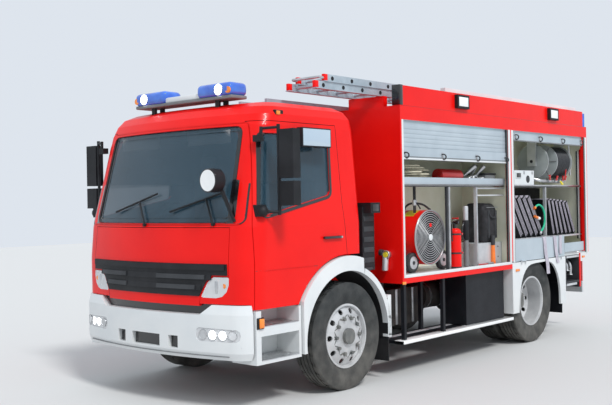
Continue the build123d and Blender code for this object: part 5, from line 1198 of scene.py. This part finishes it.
# %% Hose cassettes
cassette_rows = [
    # foot y from the front axle, count, pitch, thickness, length, first tilt, last tilt in degrees
    (3.425, 5, 0.132, 0.084, 0.59, 36, 36),
    (4.29, 6, 0.122, 0.06, 0.48, 17, 30),
]
fold_count = 0
for row, (foot, count, pitch, thick, length, first_tilt, last_tilt) in enumerate(cassette_rows):
    half = length / 2
    for number in range(count):
        lean = math.radians(first_tilt + (last_tilt - first_tilt) * number / (count - 1))
        rise = (length * math.cos(lean) + thick * math.sin(lean)) / 2
        middle = at(1.15, foot + number * pitch - half * math.sin(lean), 1.2703 + rise)
        slope = Matrix.Translation(middle) @ Matrix.Rotation(lean, 4, "X")
        parts = [(f"fold_{row}_{number}_{fold}", (-0.004, 0.0045), (share * thick, (share + 0.11) * thick),
                  (0.02 - half, half - 0.012)) for fold, share in enumerate((-0.4, -0.12, 0.16))]
        parts.append((f"cassette_top_{row}_{number}", (-0.3, -0.01), (-thick * 0.3, thick * 0.3), (half, half + 0.006)))
        for name, xs, ys, zs in parts:
            box(name, xs, ys, zs, tape_cloth, bevel=0.002).data.transform(slope)
        fold_count += len(parts) - 1
box("cassette_net", (0.62, 0.63), along(3.1, 4.95), (1.3, 1.89), chassis_paint)
print("folds:", fold_count)

# %% [markdown]
# A short green hose hangs in a bow over one cassette, between two fittings. It is a real length of hose,
# made as one tube.

# %% Green hose ring
HOSE = 0.025
ring_centre = Vector(at(1.168, 3.83, 1.5))


def from_ring(x, y, z):
    """A point counted from the middle of the hose's bow."""
    return ring_centre + Vector((x, y, z))


hose_points = []
for step in range(73):
    angle = math.radians(125 - step * 2.75)
    hose_points.append(tuple(from_ring(0.004, 0.16 * math.cos(angle), 0.17 * math.sin(angle))))
green = pipe("green_hose_ring", hose_points, HOSE / 2, green_hose, sides=3, sharp=True)
first, last = Vector(hose_points[0]), Vector(hose_points[-1])
bar("green_hose_end_a", first - Vector((0, 0.03, 0.012)), first, 0.017, orange_plastic, sides=20)
bar("green_hose_end_b", last, last - Vector((0, 0.012, 0.03)), 0.017, bare_metal, sides=20)
bar("green_hose_tap", from_ring(0, -0.1, 0.03), from_ring(0, -0.03, 0.01), 0.016, orange_plastic)
bar("green_hose_tap_end", from_ring(0, -0.03, 0.01), from_ring(0, 0.02, 0.0), 0.02, lamp_white)
print("green hose length:", round(path_length(hose_points), 2))

# %% [markdown]
# Three flat tapes hang over the folded step, drawn as ribbons of webbing that bend over its top edge and
# hang down free in front of it. Each is a sheet cut to a real width and length. The ends that hang below
# the flap's pin can't turn with it through the fender, and those tapes get a copy of their mesh.

# %% Tapes over the step flap
TAPE_TOP = 1.272
FLAP_PIN_Z = 1.01
# The way down in X and Z: up behind the flap, over its top edge and down in front of it
TAPE_WAY = [(1.203, 1.236), (1.205, 1.262), (1.213, 1.27), (1.226, TAPE_TOP), (1.238, 1.268), (1.242, 1.258),
            (1.244, 1.2), (1.246, 1.12), (1.25, 1.04), (1.256, 0.99)]
TAPE_WAY += [(1.259, 0.99 - 0.06 * step) for step in range(1, 6)]
tape_rows = [
    # name, y of the middle, lowest z, width, sway
    ("a", 3.79, 0.8, 0.085, 0.11),
    ("b", 4.06, 0.87, 0.08, 0.12),
    ("c", 4.31, 1.03, 0.075, -0.05),
]
for name, y, low, width, sway in tape_rows:
    route = [point for point in TAPE_WAY if point[1] > low]
    bpy.ops.mesh.primitive_grid_add(x_subdivisions=3, y_subdivisions=len(route) - 1, size=1)
    tape = bpy.context.object
    for vertex in tape.data.vertices:
        share = vertex.co.x
        number = round((vertex.co.y + 0.5) * (len(route) - 1))
        x, z = route[number]
        vertex.co = at(x + 0.002 * math.cos(share * 3), y + share * width + sway * number / len(route), z)
    modify(tape, "SOLIDIFY", thickness=0.0014, offset=1)
    dress(tape, "tape_" + name, tape_cloth, "step_flap", smooth=50)
    if low < FLAP_PIN_Z:
        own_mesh(tape)

# %% [markdown]
# Behind the wheel a low compartment shows its pipes, with a silver step below it and a handle above. The
# intake behind the cab gets its coupling, and the underside its pipes and straps.

# %% Low compartment, intake and underside
low_rows = [
    # name, X range, Y range from the front axle, Z range, finish, bevel
    ("low_step", (0.95, 1.256), (4.415, 4.711), (0.628, 0.6395), bare_metal, 0.001),
    ("low_step_edge", (1.235, 1.259), (4.415, 4.711), (0.61, 0.638), shelf_metal, 0.001),
    ("low_post", (1.2495, 1.257), (4.802, 4.838), (0.575, 1.02), red_paint, 0.001),
    ("low_frame", (1.2495, 1.254), (4.42, 4.8), (0.969, 0.995), shelf_metal, 0.001),
    ("fender_edge_front", (1.2495, 1.252), (2.99, 3.004), (0.42, 0.985), white_paint, 0.001),
]
boxes(low_rows, mirrored=True)
fins = [(1.16 + number * 0.1, 1.21 + number * 0.1) for number in range(5)]
boxes([
    ("low_box_back", (0.775, 0.782), (4.425, 4.795), (0.67, 0.965), gloss_black, 0.0),
    ("stack_mouth", (1.1985, 1.204), (0.335, 0.435), (1.655, 1.725), gloss_black, 0.004),
] + [(f"stack_fin_{number}", (1.1095, 1.116), (0.305, 0.465), zs, charcoal, 0.003) for number, zs in enumerate(fins)])
for number, (y, z) in enumerate(((4.5, 0.72), (4.6, 0.8), (4.7, 0.74))):
    pipe(f"low_pipe_{number}", [at(0.8, y, 0.94), at(1.1, y, 0.93), at(1.16, y, 0.88), at(1.17, y, z)], 0.022,
         bare_metal)
    hoop(f"low_coupling_{number}", at(1.17, y, z), (0, 0, 1), 0.027, 0.009, bare_metal, steps=24, sides=8)
pipe("low_handle", [at(1.25, 4.72, 1.035), at(1.285, 4.74, 1.035), at(1.285, 4.9, 1.035), at(1.25, 4.92, 1.035)],
     0.008, bare_metal, sharp=True)
bar("wall_coupling", at(1.08, 0.752, 1.217), at(1.08, 0.7, 1.217), 0.038, bare_metal, sides=24, bevel=0.004)
hoop("wall_coupling_ring", at(1.08, 0.706, 1.217), (0, 1, 0), 0.038, 0.009, bare_metal, steps=28, sides=8)
bar("wall_valve", at(1.06, 0.715, 1.06), at(1.07, 0.715, 1.19), 0.03, shelf_metal, sides=20, bevel=0.004)
bar("wall_valve_knob", at(1.0, 0.715, 1.24), at(1.04, 0.715, 1.235), 0.032, charcoal, sides=20, bevel=0.004)
bar("wall_coupling_cap", at(1.08, 0.7, 1.217), at(1.08, 0.69, 1.217), 0.026, yellow_paint, sides=24)
hoop("stack_collar", at(1.035, 0.385, 1.1), (0, 0, 1), 0.085, 0.016, charcoal, steps=32, sides=8)
for side in (1, -1):
    for y in (1.2, 1.55, 2.45) if side < 0 else (1.2, 1.5):
        box(f"tank_strap_{side}_{y}", span(side, 0.8295, 0.834), along(y, y + 0.04), (0.445, 0.815), bare_metal,
            bevel=0.001)
    for z in (0.55, 0.62):
        pipe(f"brake_pipe_{side}_{z}", [at(side * 0.445, -1.0, z), at(side * 0.445, 1.4, z),
                                        at(side * 0.45, 2.9, z + 0.02)],
             0.006, bare_metal)
for y in (1.95, 2.22, 2.5):
    band(f"air_tank_strap_{y}", at(0.64, y, 0.68), (0, 1, 0), 0.03, 0.1505, 0.003, (0, 360), bare_metal)
for number, xs, low, surface in ((0, (1.14, 1.2545), 0.331, lamp_white), (1, (0.92, 0.99), 0.3605, shelf_metal)):
    plank = box(f"board_plank_{number}", xs, along(0.745, 2.985), (low, 0.365), surface, bevel=0.003)
    across(plank, f"board_plank_right_{number}")
arch = band("arch_rear_left", (1.13, front_axle, WHEEL_Z), (1, 0, 0), 0.07, 0.6105, 0.055, (-7.5, 67), white_paint,
            steps=24)
across(arch, "arch_rear_right")
plate = box("arch_plate_left", (1.095, 1.165), along(0.6085, 0.668), (0.425, 0.83), white_paint, bevel=0.006)
across(plate, "arch_plate_right")
print("underside dressed")

# %% [markdown]
# At the back, each tail lamp is divided in lenses with reflectors beside it, a blank plate sits in the
# middle, and the step carries a ribbed tread. Grab rails stand at both sides of the shutter.

# %% Rear end
back_rows = [
    # name with its side left open, X range, Y range from the body's rear, Z range, finish, bevel
    ("tail_lens_{}_0", (1.012, 1.142), (0.034, 0.04), (0.632, 0.71), lens_clear, 0.004),
    ("tail_lens_{}_1", (1.012, 1.142), (0.034, 0.04), (0.716, 0.794), lens_orange, 0.004),
    ("tail_lens_{}_2", (1.012, 1.142), (0.034, 0.04), (0.8, 0.878), lens_red, 0.004),
    ("rear_marker_{}", (1.05, 1.12), (-0.001, 0.008), (2.6, 2.63), lens_red, 0.002),
    ("rear_guide_{}", (0.58, 0.615), (-0.001, 0.005), (1.1, 2.4), white_paint, 0.002),
    ("jaw_plate_{}", (0.0555, 0.06), (-0.09, 0.039), (0.71, 0.79), chassis_paint, 0.002),
]


def behind(*ys):
    """Y values counted from the body's rear."""
    return [body_rear + y for y in ys]


for side in (1, -1):
    for name, xs, ys, zs, surface, bevel in back_rows:
        box(name.format(side), span(side, *xs), behind(*ys), zs, surface, bevel=bevel)
    back, front = [(side * 0.93, y, 0.98) for y in behind(-0.001, 0.008)]
    bar(f"rear_reflector_{side}", back, front, 0.035, lens_red, sides=24, bevel=0.002)
    wall, rail = behind(0, 0.026)
    pipe(f"rear_rail_{side}", [(side * 0.75, y, z) for y, z in ((wall, 1.2), (rail, 1.2), (rail, 2.1), (wall, 2.1))],
         0.014, bare_metal, sharp=True)
box("rear_plate", (-0.26, 0.26), behind(-0.001, 0.004), (0.95, 1.05), white_paint, bevel=0.003)
for number in range(20):
    x = -1.1 + number * 0.114
    box(f"rear_tread_{number}", (x, x + 0.035), behind(0.006, 0.038), (0.6203, 0.624), bare_metal, bevel=0.001)
print("rear end dressed")

# %% [markdown]
# The seats are padded: each pad starts as a bevelled block a little too small, is remeshed to an even skin,
# and is then blown up by cloth pressure while its hidden back stays pinned. The three seats are alike, so
# one cushion, one back and one headrest are made and copied.

# %% Padded seats
PAD_VOXEL = 0.009
PAD_PRESSURE = 4
CLOTH_FRAMES = 20


def pad_form(name, xs, ys, zs, pinned, cap=0.014):
    """A foam pad with a cloth skin, swollen by pressure. pinned tells which points stay."""
    piece = box(name, xs, ys, zs, seat_cloth, bevel=0.03, segments=3)
    modify(piece, "REMESH", mode="VOXEL", voxel_size=PAD_VOXEL)
    group = piece.vertex_groups.new(name="held")
    group.add([vertex.index for vertex in piece.data.vertices if pinned(vertex.co)], 1.0, "REPLACE")
    homes = [vertex.co.copy() for vertex in piece.data.vertices]
    cloth = piece.modifiers.new("pad", "CLOTH")
    cloth.settings.use_pressure = True
    cloth.settings.uniform_pressure_force = PAD_PRESSURE
    cloth.settings.effector_weights.gravity = 0
    cloth.settings.vertex_group_mass = "held"
    cloth.point_cache.frame_end = CLOTH_FRAMES
    for frame_number in range(1, CLOTH_FRAMES + 1):
        bpy.context.scene.frame_set(frame_number)
    bpy.ops.object.modifier_apply(modifier="pad")
    for vertex, home in zip(piece.data.vertices, homes):
        moved = vertex.co - home
        if moved.length > cap:
            vertex.co = home + moved.normalized() * cap
    modify(piece, "SUBSURF", levels=1, render_levels=1)
    return dress(piece, name, seat_cloth, smooth=60)


SEATS = (-0.6, 0.0, 0.6)
WIDE = (-0.225, 0.225)
cushion = pad_form("seat_cushion", WIDE, along(-0.545, -0.075), (1.41, 1.508), lambda place: place.z < 1.425)
rest = pad_form("seat_back", WIDE, along(-0.142, -0.052), (1.515, 2.065), lambda place: place.y > front_axle - 0.07)
head = pad_form("headrest", (-0.12, 0.12), along(-0.135, -0.065), (2.095, 2.25),
                lambda place: place.y > front_axle - 0.08, cap=0.01)
bpy.context.scene.frame_set(1)
seam = [(-0.2, -0.535, 1.505), (0.2, -0.535, 1.505), (0.215, -0.5, 1.507), (0.215, -0.1, 1.507), (-0.215, -0.1, 1.507),
        (-0.215, -0.5, 1.507)]
piping = pipe("cushion_piping", [at(*point) for point in seam], 0.004, black_cloth, closed=True)
for number, x in enumerate(SEATS):
    for piece, label, fill in ((cushion, "cushion", 0.7), (rest, "back", 0.6), (head, "head", 0.7)):
        made = copy_piece(piece, f"seat_{label}_{number}", Matrix.Translation((x, 0, 0)))
        if label == "cushion" and number == 0:
            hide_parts("seats")
    copy_piece(piping, f"seat_piping_{number}", Matrix.Translation((x, 0, 0)))
    boxes([
        (f"seat_base_{number}", (x - 0.19, x + 0.19), (-0.52, -0.16), (1.28, 1.404), black_plastic, 0.012),
        (f"seat_shell_{number}", (x - 0.2, x + 0.2), (-0.062, -0.041), (1.5, 2.06), black_plastic, 0.008),
        (f"belt_buckle_{number}", (x + 0.235, x + 0.262), (-0.24, -0.2), (1.43, 1.53), gloss_black, 0.006),
    ])
    for side in (-1, 1):
        rod_x = x + side * 0.06
        bar(f"headrest_rod_{number}_{side}", at(rod_x, -0.1, 2.05), at(rod_x, -0.1, 2.12), 0.006, bare_metal, sides=12)
    belt = box(f"seat_belt_{number}", (-0.023, 0.023), (-0.0008, 0.0008), (-0.29, 0.29), black_cloth)
    slant = Matrix.Rotation(math.radians(32 if x < 0.3 else -32), 4, "Y")
    belt.data.transform(Matrix.Translation(at(x, -0.163, 1.79)) @ slant)
for piece in (cushion, rest, head, piping):
    bpy.data.objects.remove(piece)
print("seats:", len(SEATS))

# %% [markdown]
# Small fittings give the cab its scale from outside: an instrument hood behind the wheel, round vents, two
# sun visors and a gear lever.

# %% Cab fittings
dash_back, dash_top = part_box("dashboard")[1][1:]
dash_rows = [
    # name, X range, Y range from the dashboard's back, Z range from its top, finish, bevel
    ("instrument_hood", (-0.74, -0.38), (-0.12, 0.002), (-0.03, 0.035), black_plastic, 0.015),
    ("instrument_glass", (-0.72, -0.4), (-0.0015, 0.004), (-0.14, -0.045), gloss_black, 0.006),
    ("radio", (-0.09, 0.09), (-0.02, 0.005), (-0.22, -0.16), gloss_black, 0.004),
]
for name, xs, ys, zs, surface, bevel in dash_rows:
    box(name, xs, [dash_back + y for y in ys], [dash_top + z for z in zs], surface, bevel=bevel)
for number, x in enumerate((-0.95, -0.2, 0.2, 0.95)):
    vent = Vector((x, dash_back, dash_top - 0.1))
    face_place = vent + Vector((0, 0.006, 0))
    bar(f"vent_{number}", vent - Vector((0, 0.03, 0)), face_place, 0.042, charcoal, sides=24, bevel=0.005)
    hoop(f"vent_ring_{number}", face_place, (0, 1, 0), 0.04, 0.004, grey_plastic, steps=28, sides=6)
for side in (-1, 1):
    box(f"sun_visor_{side}", span(side, 0.2, 0.75), along(-1.105, -1.085), (2.28, 2.4), grey_plastic, bevel=0.008)
bar("gear_lever", at(-0.2, -0.72, 1.3), at(-0.24, -0.76, 1.52), 0.009, gloss_black, sides=12)
bar("gear_knob", at(-0.24, -0.76, 1.52), at(-0.245, -0.765, 1.57), 0.022, gloss_black, sides=20, bevel=0.008)
print("cab fittings made")
